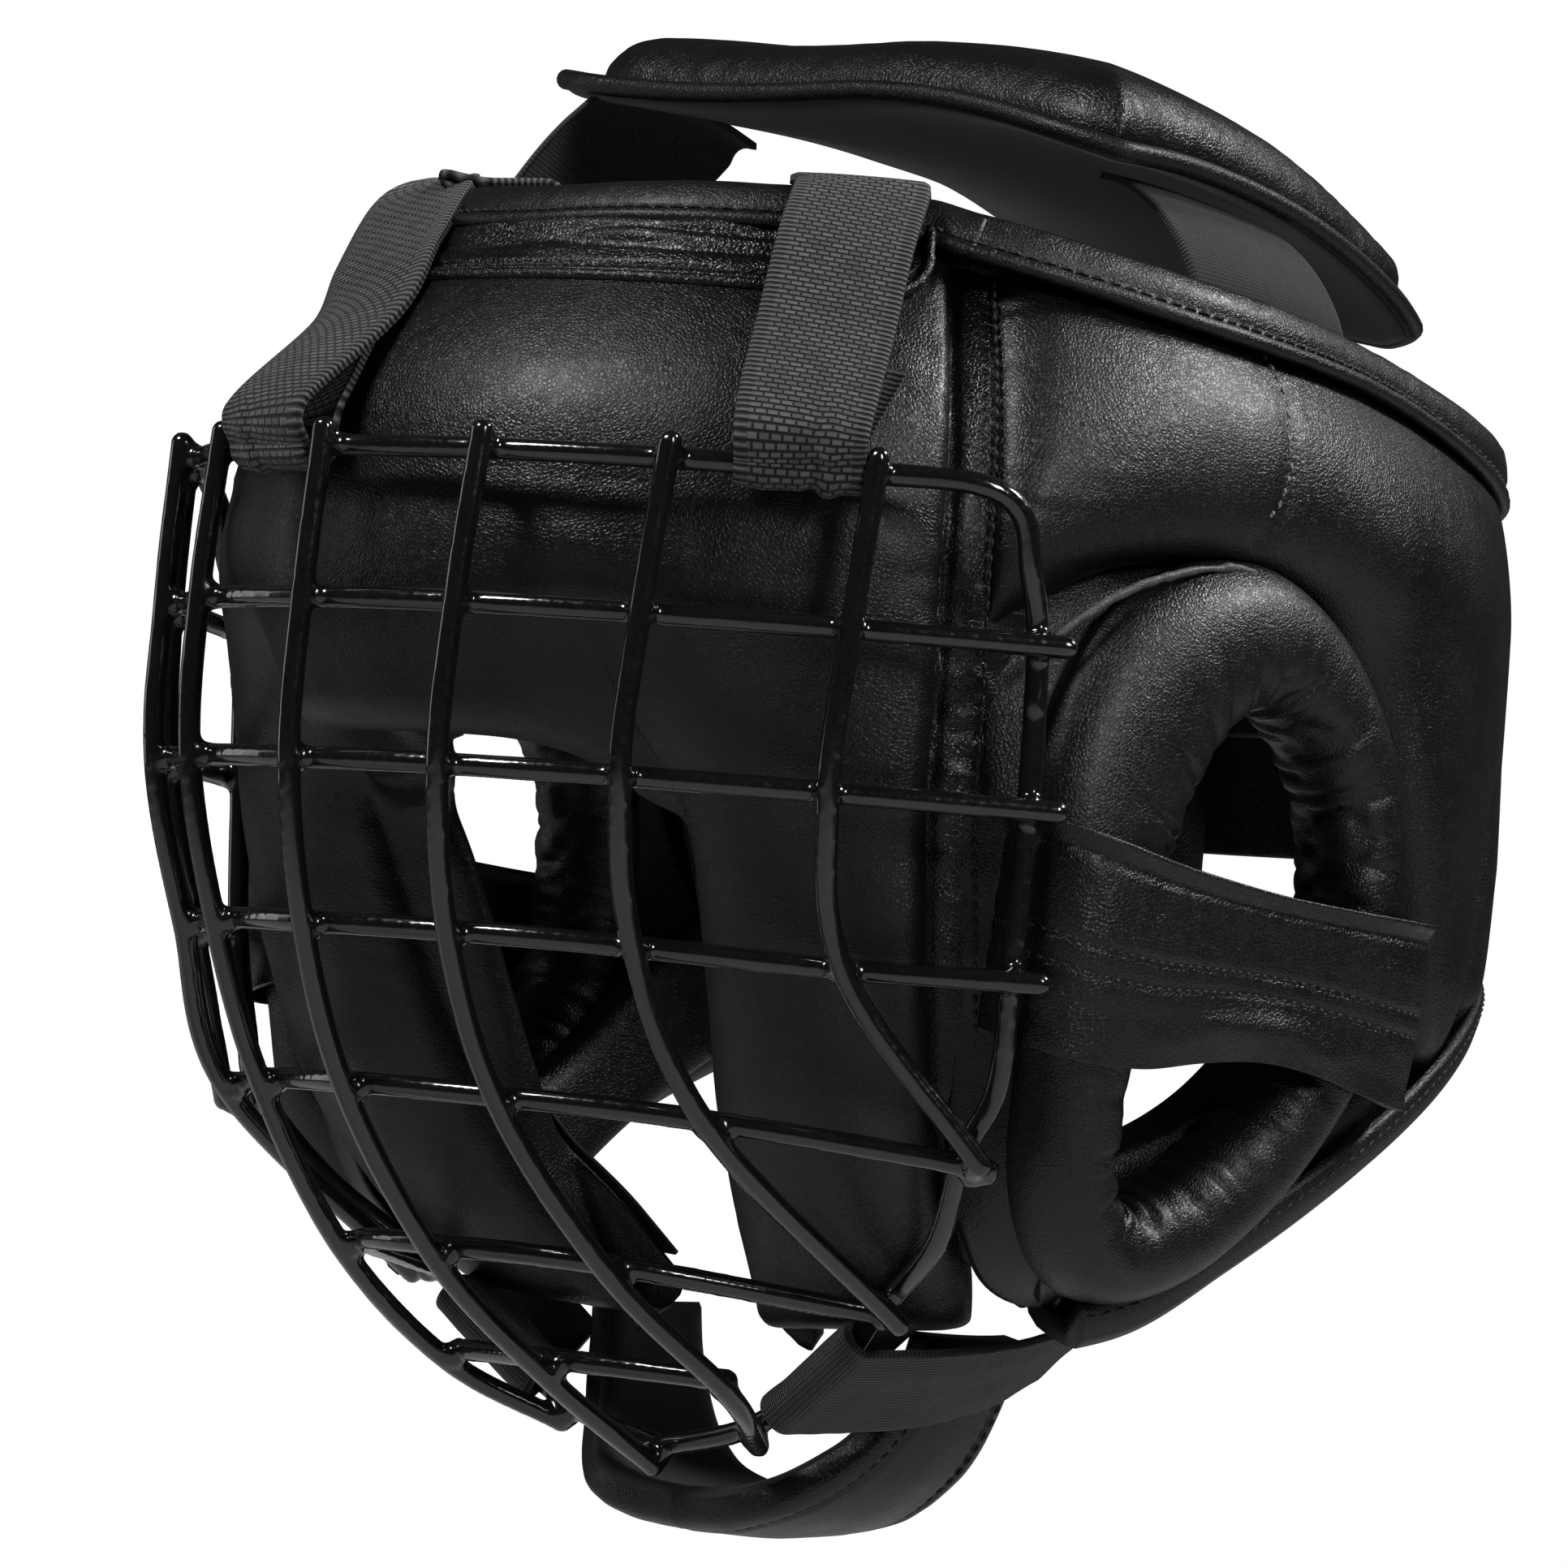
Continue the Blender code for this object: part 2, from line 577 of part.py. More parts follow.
def cage_normal(line, index):
    p = np.asarray(line, float)
    tangent = unit(p[min(index + 1, len(p) - 1)] - p[max(index - 1, 0)])
    radial = unit([p[index][0] / 121.0 ** 2, p[index][1] / 150.0 ** 2, 0])
    return unit(radial - np.dot(radial, tangent) * tangent)


def layer_line(key, offset):
    """Crossing points of a wire, moved out of the cage's mid surface by the offset."""
    line = np.array(CAGE[key], float)
    return np.array([line[i] + cage_normal(line, i) * offset for i in range(len(line))])


def build_cage():
    top = {k: layer_line(k, -LAYER)[0] for k in CAGE}
    deep = -LAYER * 3
    g = layer_line("G", deep)
    # outer frame: along the top, down the side, in under the jaw and across below the chin
    e_end = layer_line("E", -LAYER)[-1]
    d_end = layer_line("D", -LAYER)[-1]
    c_end = layer_line("C", -LAYER)[-1]
    half = [top["C"], top["D"], top["E"], top["F"],
            (103.5, -85.0, 80.5), (107.5, -77.5, 76.0), (107.9, -74.4, 66.0),
            g[1], g[2], g[3], (101.5, -64.8, -28.0), g[4] + np.array([0.6, -0.6, 0.4]),
            (82.0, -56.5, -57.5), e_end, (46.0, -43.5, -84.0), d_end, c_end]
    near = catmull(half, 47)
    loop = np.vstack([near, mirrored(near[1:-1])[::-1]])
    tube("cage_frame", loop, WIRE_R, WIRE_MAT, 8, closed=True, pivot=PIVOT)
    number = 0
    for key, side in (("F", -1), ("E", -1), ("D", -1), ("C", 1), ("D", 1), ("E", 1), ("F", 1)):
        number += 1
        line = layer_line(key, LAYER)
        line[0] += np.array([0, 0, 2.4])
        if key == "E":
            line[-1] += cage_normal(CAGE[key], len(line) - 1) * 2.4
        path = catmull(line, {"C": 22, "D": 21, "E": 17, "F": 13}[key])
        if side < 0:
            path = mirrored(path)
        tube("cage_upright_%d" % number, path, WIRE_R, WIRE_MAT, 8, pivot=PIVOT)
    lines = {k: layer_line(k, -LAYER) for k in CAGE}
    for row in range(1, 7):
        right = []
        for key in "CDEFG":
            line = lines[key]
            if row < len(line):
                right.append(line[row])
            if row == len(line) - 1 and key in "EF":
                break
        if row == 6:
            right = [lines["C"][6], lines["D"][6]]
        right = np.array(right)
        if row <= 3:
            end = right[-1] + unit(right[-1] - right[-2]) * 3.2
            right = np.vstack([right, end])
        else:
            end = right[-1] + unit(right[-1] - right[-2]) * (1.5 if row == 6 else -3.4)
            right[-1] = end
        full = np.vstack([mirrored(right[1:])[::-1], right])
        path = catmull(full, {1: 27, 2: 27, 3: 27, 4: 23, 5: 17, 6: 9}[row])
        tube("cage_crossbar_%d" % row, path, WIRE_R, WIRE_MAT, 8, pivot=PIVOT)


def strap_line(strap_x, t_top, falls):
    """Centre line of a strap: over the rim, down the brow, round the top wire and back up."""
    wire = catmull([layer_line(k, -LAYER)[0] for k in "CDEFG"], 120)
    nearest = int(np.argmin(abs(wire[:, 0] - strap_x)))
    at, nearby = wire[nearest], wire[nearest + 1]
    across = unit(nearby - at)
    out = unit(np.cross(across, np.array([0, 0, 1.0])))
    if out[1] > 0:
        out = -out
    up = np.array([0, 0, 1.0])
    loop_r = WIRE_R + 2.9
    rim = shell(t_top, rim_z(t_top) - 1)
    inward = unit([rim[0], rim[1], 0])
    path = [rim - inward * 17 + up * 3.0, rim - inward * 13 + up * 10.8,
            rim - inward * 2 + up * 11.0,
            rim + shell_normal(t_top, rim_z(t_top) - 3) * 10.6 + up * 1.2]
    for t, z in falls:
        path.append(shell(t, z) + shell_normal(t, z) * 11.5)
    path.append(at + out * (loop_r + 1.5) + up * 8)
    for angle in (80, 40, 0, -40, -80, -110):
        turn = np.radians(80 - angle)
        path.append(at + out * loop_r * np.cos(turn) - up * loop_r * np.sin(turn))
    path.append(at - out * (loop_r + 0.4) + up * 7)
    t_back = falls[-1][0] + 1.0
    path.append(shell(t_back, 100.0) + shell_normal(t_back, 100.0) * 6.6)
    return catmull(path, 40), across


def build_straps():
    """Webbing loops that hold the top wire of the cage to the brow.

    The left one falls outwards to the wire and the right one has slid in towards the middle.
    """
    line, across = strap_line(STRAP_X, 40.0, ((39.5, 118.0), (39.3, 102.0)))
    ribbon("cage_strap_left", line, across, 25.4, 1.5, WEBBING_MAT)
    line, across = strap_line(STRAP_X_RIGHT, 28.0, ((19.0, 118.0), (13.0, 102.0)))
    ribbon("cage_strap_right", mirrored(line), mirrored(across), 25.4, 1.5, WEBBING_MAT)


# ---------------------------------------------------------------- chin

CHIN_PIVOT = (-50.0, -4.0, -76.0)
JAW_WIRE_HIGH = np.array([62.0, -47.5, -72.5])
JAW_WIRE_LOW = np.array([25.5, -42.0, -98.0])
# the sling seen from the front: half of it, from the middle up to the jaw
SLING = [(0, -119), (14, -118), (27, -114), (37, -106), (43, -97), (47, -87), (49, -77)]


def build_chin():
    """A leather chin sling under the jaw, hinged at the wearer's right."""
    half = catmull([(x, 0, z) for x, z in SLING], 10)
    line = np.vstack([mirrored(half[1:])[::-1], half])
    tangents = unit(np.gradient(line, axis=0))
    inward = np.cross(tangents, np.array([0, 1.0, 0]))
    if inward[len(line) // 2][2] < 0:
        inward = -inward
    rows = 5

    def sheet(depth, grow=0.0):
        grid = np.zeros((rows, len(line), 3))
        for j in range(len(line)):
            lift = abs(line[j, 0]) / 49.0
            front = np.interp(lift, [0, 0.6, 1], [-37, -34, -17]) - grow
            back = np.interp(lift, [0, 0.6, 1], [4, 6, 9]) + grow
            for i, v in enumerate(np.linspace(0, 1, rows)):
                curl = 1.6 * (2 * v - 1) ** 2
                point = line[j] + inward[j] * (depth + curl)
                point[1] = front + (back - front) * v
                grid[i, j] = point
        return grid
    slab("chin_cup_leather", sheet(0), sheet(LEATHER), LEATHER_MAT, CHIN_PIVOT)
    slab("chin_cup_foam", sheet(LEATHER + GAP, -1.5), sheet(8.5, -1.5), FOAM_MAT, CHIN_PIVOT)


def build_bands():
    """Knit bands that run along the jaw and fold round the cage's lower wire."""
    along = unit(JAW_WIRE_HIGH - JAW_WIRE_LOW)
    middle = (JAW_WIRE_HIGH + JAW_WIRE_LOW) / 2 + np.array([0.6, 0.6, 0.4])
    back = unit([0.62, 0.78, 0.10])
    out = unit(np.cross(back, along))
    ahead = unit(np.cross(along, out))
    if ahead[1] > 0:
        ahead = -ahead
    r = WIRE_R + 2.6
    offsets = [out * r + back * s for s in (50, 38, 25, 12, 3)]
    for angle in (0, 30, 60, 90, 120, 150, 180):
        rad = np.radians(angle)
        offsets.append(out * r * np.cos(rad) + ahead * r * np.sin(rad))
    offsets += [-out * r + back * s for s in (4, 12)]
    offsets = np.array(offsets)
    slope = unit(np.gradient(offsets, axis=0))
    face = unit(np.cross(slope, along))
    outer, inner = [], []
    for v in (-14.5, -5.0, 5.0, 14.5):
        outer.append(middle + along * v + offsets + face * 0.8)
        inner.append(middle + along * v + offsets - face * 0.8)
    outer, inner = np.array(outer), np.array(inner)
    slab("chin_band_left", outer, inner, ELASTIC_MAT, PIVOT)
    slab("chin_band_right", mirrored(outer), mirrored(inner), ELASTIC_MAT, PIVOT)


build_shell()
build_bindings()
build_flap()
build_ears()
build_crown()
build_rear()
build_cage()
build_straps()
build_chin()
build_bands()
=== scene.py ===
"""Looks of the boxing headgear: leather pads, bindings, webbing, knit, stitches and coated cage.

Lengths are millimetres here and metres in the scene. +Z is up, -Y is the way the face looks and
+X is the wearer's left. Angle t runs round the head from the front (0) over the left (+90).
"""
import math

import bmesh
import bpy
import numpy as np
from mathutils import Matrix


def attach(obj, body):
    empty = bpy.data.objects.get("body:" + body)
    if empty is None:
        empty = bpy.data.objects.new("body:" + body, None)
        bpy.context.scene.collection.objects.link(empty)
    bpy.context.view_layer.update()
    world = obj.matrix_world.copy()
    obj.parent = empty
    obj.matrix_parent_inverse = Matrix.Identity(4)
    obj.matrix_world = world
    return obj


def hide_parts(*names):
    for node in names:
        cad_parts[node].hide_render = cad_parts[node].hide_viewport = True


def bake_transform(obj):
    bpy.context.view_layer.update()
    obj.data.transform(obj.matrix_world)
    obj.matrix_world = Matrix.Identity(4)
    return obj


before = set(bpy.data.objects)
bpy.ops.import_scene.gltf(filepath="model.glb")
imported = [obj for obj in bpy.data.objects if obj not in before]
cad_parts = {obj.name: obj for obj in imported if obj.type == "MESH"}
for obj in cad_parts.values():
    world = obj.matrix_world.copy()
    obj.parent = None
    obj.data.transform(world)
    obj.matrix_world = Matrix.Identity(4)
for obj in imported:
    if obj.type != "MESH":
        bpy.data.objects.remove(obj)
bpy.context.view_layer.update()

MM = 0.001
HALF_WIDTH, HALF_FRONT, HALF_REAR = 112.0, 137.0, 139.0
SEAM_T, INNER_T, CLOSE_Z = 57.0, 22.3, 70.0
RIM_T = [0, 35, 52, 60, 80, 112, 137, 180]
RIM_Z = [129.5, 131, 130.5, 128, 121.5, 113.5, 103.5, 99]
RIM_SCALE = [0.70, 0.70, 0.69, 0.74, 0.815, 0.845, 0.965, 0.98]
CHEEK_Z = [60, 42, 26, 8, -6, -22, -38, -56, -70, -84]
CHEEK_XY = [
    [(94, -74.6), (87, -86.5), (75.6, -101), (60, -115.7), (42.5, -126.8)],
    [(94, -74.0), (87, -85), (75.2, -97.5), (60, -108), (42.5, -113)],
    [(93.5, -73.5), (86.5, -83.5), (75, -93), (60, -98.5), (42.5, -97)],
    [(93, -71.5), (86, -80.5), (74, -87.5), (58, -91), (41.5, -87)],
    [(92, -69), (85, -77.5), (72, -84), (56, -86.5), (39, -81)],
    [(89.5, -64), (82.5, -72.5), (69, -78.5), (53, -80), (36, -74)],
    [(86, -57), (79.5, -65.5), (66, -71), (49.5, -72), (31.5, -66)],
    [(80, -45), (73.5, -52), (60.5, -57.5), (44, -59.5), (25.5, -54)],
    [(73, -32), (66, -38), (53.5, -43), (37, -46), (18, -42)],
    [(64, -20), (57, -26), (45.5, -31), (30, -34), (11, -31)],
]
WIRE_R, LAYER = 2.2, 2.15      # wire radius, and how far each wire stands off the crossing layer
WEB_HALF, KNIT_HALF, BAND_HALF = 12.7, 22.0, 14.5   # half-widths of strap, crown knit and jaw band
STITCH_SINK = 0.1
SIDES = ((1.0, "_left"), (-1.0, "_right"))


# ---------------------------------------------------------------- curves and noise

def unit(v):
    v = np.asarray(v, float)
    return v / np.maximum(np.linalg.norm(v, axis=-1, keepdims=True), 1e-12)


def along(x, xs, ys):
    """Smooth curve through (xs, ys), read at x. ys may hold points."""
    xs, ys = np.asarray(xs, float), np.asarray(ys, float)
    x = np.clip(np.asarray(x, float), xs[0], xs[-1])
    slope = np.gradient(ys, xs, axis=0)
    k = np.clip(np.searchsorted(xs, x, side="right") - 1, 0, len(xs) - 2)
    h = xs[k + 1] - xs[k]
    u = (x - xs[k]) / h
    shape = u.shape + (1,) * (ys.ndim - 1)
    u, h = u.reshape(shape), h.reshape(shape)
    return ((2 * u ** 3 - 3 * u ** 2 + 1) * ys[k] + (u ** 3 - 2 * u ** 2 + u) * h * slope[k]
            + (3 * u ** 2 - 2 * u ** 3) * ys[k + 1] + (u ** 3 - u ** 2) * h * slope[k + 1])


def smooth_path(points, count, closed=False):
    """Catmull-Rom curve through the points, spaced evenly along its length."""
    p = np.asarray(points, float)
    if closed:
        ext = np.vstack([p[-1], p, p[:2]])
        spans = len(p)
    else:
        ext = np.vstack([2 * p[0] - p[1], p, 2 * p[-1] - p[-2]])
        spans = len(p) - 1
    out = []
    for i in range(spans):
        a, b, c, d = ext[i], ext[i + 1], ext[i + 2], ext[i + 3]
        u = np.linspace(0, 1, 24, endpoint=False)[:, None]
        out.append(0.5 * (2 * b + (c - a) * u + (2 * a - 5 * b + 4 * c - d) * u ** 2
                          + (3 * b - a - 3 * c + d) * u ** 3))
    out = np.vstack(out + [p[:1] if closed else p[-1:]])
    run = arc_run(out)
    at = np.linspace(0, run[-1], count, endpoint=not closed)
    return np.stack([np.interp(at, run, out[:, k]) for k in range(out.shape[1])], -1)


def lattice(i, seed):
    n = (i[..., 0] * 73856093) ^ (i[..., 1] * 19349663) ^ (i[..., 2] * 83492791) ^ (seed * 977)
    n = (n ^ (n >> 13)) * 1274126177
    n = (n ^ (n >> 16)) & 0xFFFF
    return n / 32767.5 - 1.0


def noise(p, seed=0):
    """Smooth value noise, from -1 to 1."""
    p = np.asarray(p, float)
    i = np.floor(p).astype(np.int64)
    f = p - i
    f = f * f * (3 - 2 * f)
    total = 0.0
    for corner in range(8):
        bit = np.array([corner & 1, corner >> 1 & 1, corner >> 2 & 1])
        weight = np.prod(np.where(bit, f, 1 - f), axis=-1)
        total = total + weight * lattice(i + bit, seed)
    return total


def field(a, b, seed=0):
    """Noise over two coordinates."""
    a, b = np.broadcast_arrays(a, b)
    return noise(np.stack([a, b, np.full(a.shape, 0.37 + seed)], -1), seed)


def crease(a, b, seed=0):
    """Narrow valleys, 0 to 1: 1 is the floor of a crease."""
    return np.clip(1 - 2.6 * abs(field(a, b, seed)), 0, 1) ** 1.5


def bell(x, centre, width):
    return np.exp(-((x - centre) / width) ** 2)


# ---------------------------------------------------------------- meshes

def piece(name, points, faces, body, slot, mats, replaces=(), index=None, uv=None):
    """A mesh that rides on a CAD body. uv, in millimetres, goes with each point."""
    mesh = bpy.data.meshes.new(name)
    mesh.from_pydata((np.asarray(points) * MM).tolist(), [], np.asarray(faces).tolist()
                     if isinstance(faces, np.ndarray) else faces)
    for mat in mats:
        mesh.materials.append(mat)
    if index is not None:
        mesh.polygons.foreach_set("material_index", np.asarray(index, np.int32))
    if uv is not None:
        layer = mesh.uv_layers.new(name="lay")
        corner = np.empty(len(mesh.loops), np.int32)
        mesh.loops.foreach_get("vertex_index", corner)
        layer.data.foreach_set("uv", (np.asarray(uv)[corner] * MM).astype(np.float32).ravel())
    made = bmesh.new()
    made.from_mesh(mesh)
    bmesh.ops.recalc_face_normals(made, faces=made.faces)
    if made.calc_volume(signed=True) < 0:
        bmesh.ops.reverse_faces(made, faces=made.faces)
    made.to_mesh(mesh)
    made.free()
    mesh.polygons.foreach_set("use_smooth", np.ones(len(mesh.polygons), bool))
    obj = bpy.data.objects.new(name, mesh)
    bpy.context.scene.collection.objects.link(obj)
    if body:
        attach(obj, body)
    if replaces:
        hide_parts(*replaces)
    return obj


def mirror_of(points, side):
    return np.asarray(points) * np.array([side, 1.0, 1.0])


def two_sided(outer, inner):
    """Points, faces and which faces are the back, for a sheet with thickness."""
    rows, cols = outer.shape[:2]
    index = np.arange(rows * cols).reshape(rows, cols)
    front = np.stack([index[:-1, :-1], index[:-1, 1:], index[1:, 1:], index[1:, :-1]], -1)
    front = front.reshape(-1, 4)
    shift = rows * cols
    rim = np.r_[index[0], index[1:, -1], index[-1, -2::-1], index[-2:0:-1, 0]]
    after = np.roll(rim, -1)
    wall = np.stack([rim, rim + shift, after + shift, after], -1)
    faces = np.vstack([front, front[:, ::-1] + shift, wall])
    back = np.r_[np.zeros(len(front)), np.ones(len(front)), np.zeros(len(wall))].astype(int)
    return np.vstack([outer.reshape(-1, 3), inner.reshape(-1, 3)]), faces, back


def ring_faces(count, size, closed):
    index = np.arange(count * size).reshape(count, size)
    a = index if closed else index[:-1]
    b = np.roll(index, -1, 0) if closed else index[1:]
    quads = np.stack([a, np.roll(a, -1, 1), np.roll(b, -1, 1), b], -1).reshape(-1, 4).tolist()
    if not closed:
        quads += [index[0].tolist(), index[-1].tolist()]
    return quads


def grid_run(p, axis):
    """Distance along the grid lines of one axis, from their first point."""
    step = np.linalg.norm(np.diff(p, axis=axis), axis=-1)
    pad = [(0, 0), (0, 0)]
    pad[axis] = (1, 0)
    return np.pad(np.cumsum(step, axis=axis), pad)


def arc_run(path):
    """Distance along a path, from its first point."""
    return np.r_[0, np.cumsum(np.linalg.norm(np.diff(path, axis=0), axis=1))]


def end_run(p):
    """Distance of each grid point from the nearer of the first and last rows."""
    return np.minimum(grid_run(p, 0), grid_run(p[::-1], 0)[::-1])


def edge_run(p):
    """Distance of each grid point from the nearest border of the grid."""
    return np.minimum.reduce([end_run(p), grid_run(p, 1), grid_run(p[:, ::-1], 1)[:, ::-1]])


def inset_ring(grid, row, col):
    """The loop of grid points that lies row and col steps in from the border."""
    return np.vstack([grid[row, col:-col], grid[row:-row, -1 - col], grid[-1 - row, -col:col:-1],
                      grid[-row:row:-1, col]])


def strip_uv(across, run):
    """Width and length coordinates for the two faces of a strip."""
    uv = np.stack(np.broadcast_arrays(across, run), -1).reshape(-1, 2)
    return np.vstack([uv, uv])


def grid_normals(p, outward):
    n = unit(np.cross(np.gradient(p, axis=1), np.gradient(p, axis=0)))
    flip = np.sign((n * outward).sum(-1, keepdims=True))
    return n * np.where(flip == 0, 1, flip)


def tangents_of(path, closed):
    if closed:
        return unit(np.roll(path, -1, 0) - np.roll(path, 1, 0))
    return unit(np.gradient(path, axis=0))


def path_frames(path, first, closed):
    tangents = tangents_of(path, closed)
    side = unit(np.asarray(first, float) - np.dot(first, tangents[0]) * tangents[0])
    sides = []
    for t in tangents:
        side = unit(side - np.dot(side, t) * t)
        sides.append(side)
    sides = np.array(sides)
    return sides, np.cross(tangents, sides)


def tube_mesh(path, radius, sides=12, closed=False):
    path = np.asarray(path, float)
    side, up = path_frames(path, (0.3, 0.2, 1.0), closed)
    turn = np.linspace(0, 2 * np.pi, sides, endpoint=False)
    radius = np.broadcast_to(np.asarray(radius, float), (len(path),))
    rings = path[:, None] + radius[:, None, None] * (
        np.cos(turn)[None, :, None] * side[:, None] + np.sin(turn)[None, :, None] * up[:, None])
    return rings.reshape(-1, 3), ring_faces(len(path), sides, closed)


def swept(path, outward, profile):
    """Profile of (outward, up) points carried along a path."""
    tangents = tangents_of(path, False)
    out = unit(outward - (outward * tangents).sum(-1, keepdims=True) * tangents)
    up = np.cross(tangents, out)
    up = up * np.sign((up[:, 2:3]).mean() + 1e-9)
    profile = np.asarray(profile, float)
    rings = (path[:, None] + profile[None, :, 0:1] * out[:, None]
             + profile[None, :, 1:2] * up[:, None])
    return rings, out, up


def stitches(name, path, normal, body="headguard", slot="black_leather", mat=None, pitch=3.1,
             length=2.2, radius=0.36):
    """A row of thread stitches, each a small rounded lozenge lying on the surface."""
    path, normal = np.asarray(path, float), np.asarray(normal, float)
    run = arc_run(path)
    count = max(2, int(run[-1] / pitch))
    at = (np.arange(count) + 0.5) * run[-1] / count
    centre = np.stack([np.interp(at, run, path[:, k]) for k in range(3)], -1)
    n = unit(np.stack([np.interp(at, run, normal[:, k]) for k in range(3)], -1))
    slope = np.gradient(path, axis=0)
    t = unit(np.stack([np.interp(at, run, slope[:, k]) for k in range(3)], -1))
    t = unit(t - (t * n).sum(-1, keepdims=True) * n)
    b = np.cross(n, t)
    turn = np.linspace(0, 2 * np.pi, 7, endpoint=False)
    points, faces = [], []
    stations = [(-1.0, 0.25), (-0.72, 0.85), (0.0, 1.0), (0.72, 0.85), (1.0, 0.25)]
    for i in range(count):
        lean = 0.12 * math.sin(1.7 * i)
        first = len(points)
        axis = unit(t[i] + b[i] * lean)
        for s, r in stations:
            bow = (1 - s * s) * radius * 0.8 - radius * 0.3 - STITCH_SINK
            middle = centre[i] + axis * s * length / 2 + n[i] * bow
            ring = (middle + radius * r * (np.cos(turn)[:, None] * b[i] * 1.15
                                           + np.sin(turn)[:, None] * n[i]))
            points.extend(ring.tolist())
        for face in ring_faces(len(stations), 7, False):
            faces.append([first + k for k in face])
    return piece(name, points, faces, body, slot, [mat or THREAD])


def pair(name, points, faces, mat, node="", slot="black_leather", body="headguard", **more):
    """The same piece on the left and, mirrored, on the right."""
    return [piece(name + tag, mirror_of(points, side), faces, body, slot, [mat],
                  (node + tag,) if node else (), **more) for side, tag in SIDES]


# ---------------------------------------------------------------- materials

class Nodes:
    """Small helper that builds a node tree and keeps the wiring readable."""

    def __init__(self, name, colour, rough, **values):
        self.mat = bpy.data.materials.new(name)
        self.mat.use_nodes = True
        self.tree = self.mat.node_tree
        self.shader = self.tree.nodes["Principled BSDF"]
        self.shader.inputs["Base Color"].default_value = (*colour, 1.0)
        self.shader.inputs["Roughness"].default_value = rough
        for key, value in values.items():
            self.shader.inputs[key.replace("_", " ")].default_value = value
        self.mat.diffuse_color = (*colour, 1.0)

    def add(self, kind, settings=None, **inputs):
        node = self.tree.nodes.new("ShaderNode" + kind)
        for key, value in (settings or {}).items():
            setattr(node, key, value)
        for key, value in inputs.items():
            socket = node.inputs[int(key[1:])] if key[0] == "i" and key[1:].isdigit() \
                else node.inputs[key.replace("_", " ")]
            if isinstance(value, bpy.types.NodeSocket):
                self.tree.links.new(value, socket)
            else:
                socket.default_value = value
        return node

    def link(self, source, target):
        self.tree.links.new(source, target)

    def maths(self, operation, a, b=0.0):
        return self.add("Math", {"operation": operation}, i0=a, i1=b).outputs[0]

    def spread(self, source, low, high, out_low=0.0, out_high=1.0):
        node = self.add("MapRange", None, Value=source, From_Min=low, From_Max=high,
                        To_Min=out_low, To_Max=out_high)
        return node.outputs["Result"]

    def place(self):
        return self.add("TexCoord").outputs["Object"]

    def colour(self, factor, dark, light):
        ramp = self.add("ValToRGB", None, Fac=factor)
        ramp.color_ramp.elements[0].color = (*dark, 1)
        ramp.color_ramp.elements[1].color = (*light, 1)
        self.link(ramp.outputs["Color"], self.shader.inputs["Base Color"])

    def rough(self, factor):
        self.link(factor, self.shader.inputs["Roughness"])

    def bump(self, layers):
        """Layers of (height, strength, distance in millimetres), coarse first."""
        last = None
        for height, strength, depth in layers:
            node = self.add("Bump", None, Strength=strength, Distance=depth * MM, Height=height)
            if last is not None:
                self.link(last, node.inputs["Normal"])
            last = node.outputs["Normal"]
        self.link(last, self.shader.inputs["Normal"])


def leather(name, dark, light, rough_low, rough_high, grain=1.0, crackle=0.5):
    """Fine-grained cowhide: pebbled cells, hair pores, soft creases and polish that varies."""
    n = Nodes(name, light, rough_high, Specular_IOR_Level=0.5, Coat_Weight=0.12,
              Coat_Roughness=0.32)
    spot = n.place()
    warp = n.add("TexNoise", None, Vector=spot, Scale=210.0, Detail=2.0)
    mixed = n.add("VectorMath", {"operation": "MULTIPLY_ADD"}, i0=warp.outputs["Color"],
                  i1=(0.0016, 0.0016, 0.0016), i2=spot).outputs[0]
    cells = n.add("TexVoronoi", {"feature": "DISTANCE_TO_EDGE"}, Vector=mixed, Scale=1250.0)
    pebble = n.spread(cells.outputs["Distance"], 0.0, 0.28)
    pores = n.add("TexNoise", None, Vector=spot, Scale=2600.0, Detail=3.0, Roughness=0.6)
    folds = n.add("TexVoronoi", {"feature": "DISTANCE_TO_EDGE"}, Vector=mixed, Scale=150.0)
    fold = n.spread(folds.outputs["Distance"], 0.0, 0.06)
    broad = n.add("TexNoise", None, Vector=spot, Scale=38.0, Detail=4.0, Roughness=0.55)
    mask = n.spread(broad.outputs["Fac"], 0.45, 0.75)
    creased = n.maths("MAXIMUM", fold, n.maths("SUBTRACT", 1.0, mask))
    tint = n.maths("MULTIPLY", pebble, broad.outputs["Fac"])
    n.colour(tint, dark, light)
    speck = n.maths("MULTIPLY", pores.outputs["Fac"], 0.35)
    n.rough(n.spread(n.maths("ADD", speck, broad.outputs["Fac"]), 0.4, 0.95,
                     rough_low, rough_high))
    wrinkle = n.add("TexNoise", None, Vector=spot, Scale=430.0, Detail=4.0, Roughness=0.6,
                    Distortion=1.6)
    n.bump([(creased, crackle, 0.12), (wrinkle.outputs["Fac"], 0.45 * grain, 0.30),
            (pebble, 0.60 * grain, 0.11), (pores.outputs["Fac"], 0.45 * grain, 0.08)])
    return n.mat


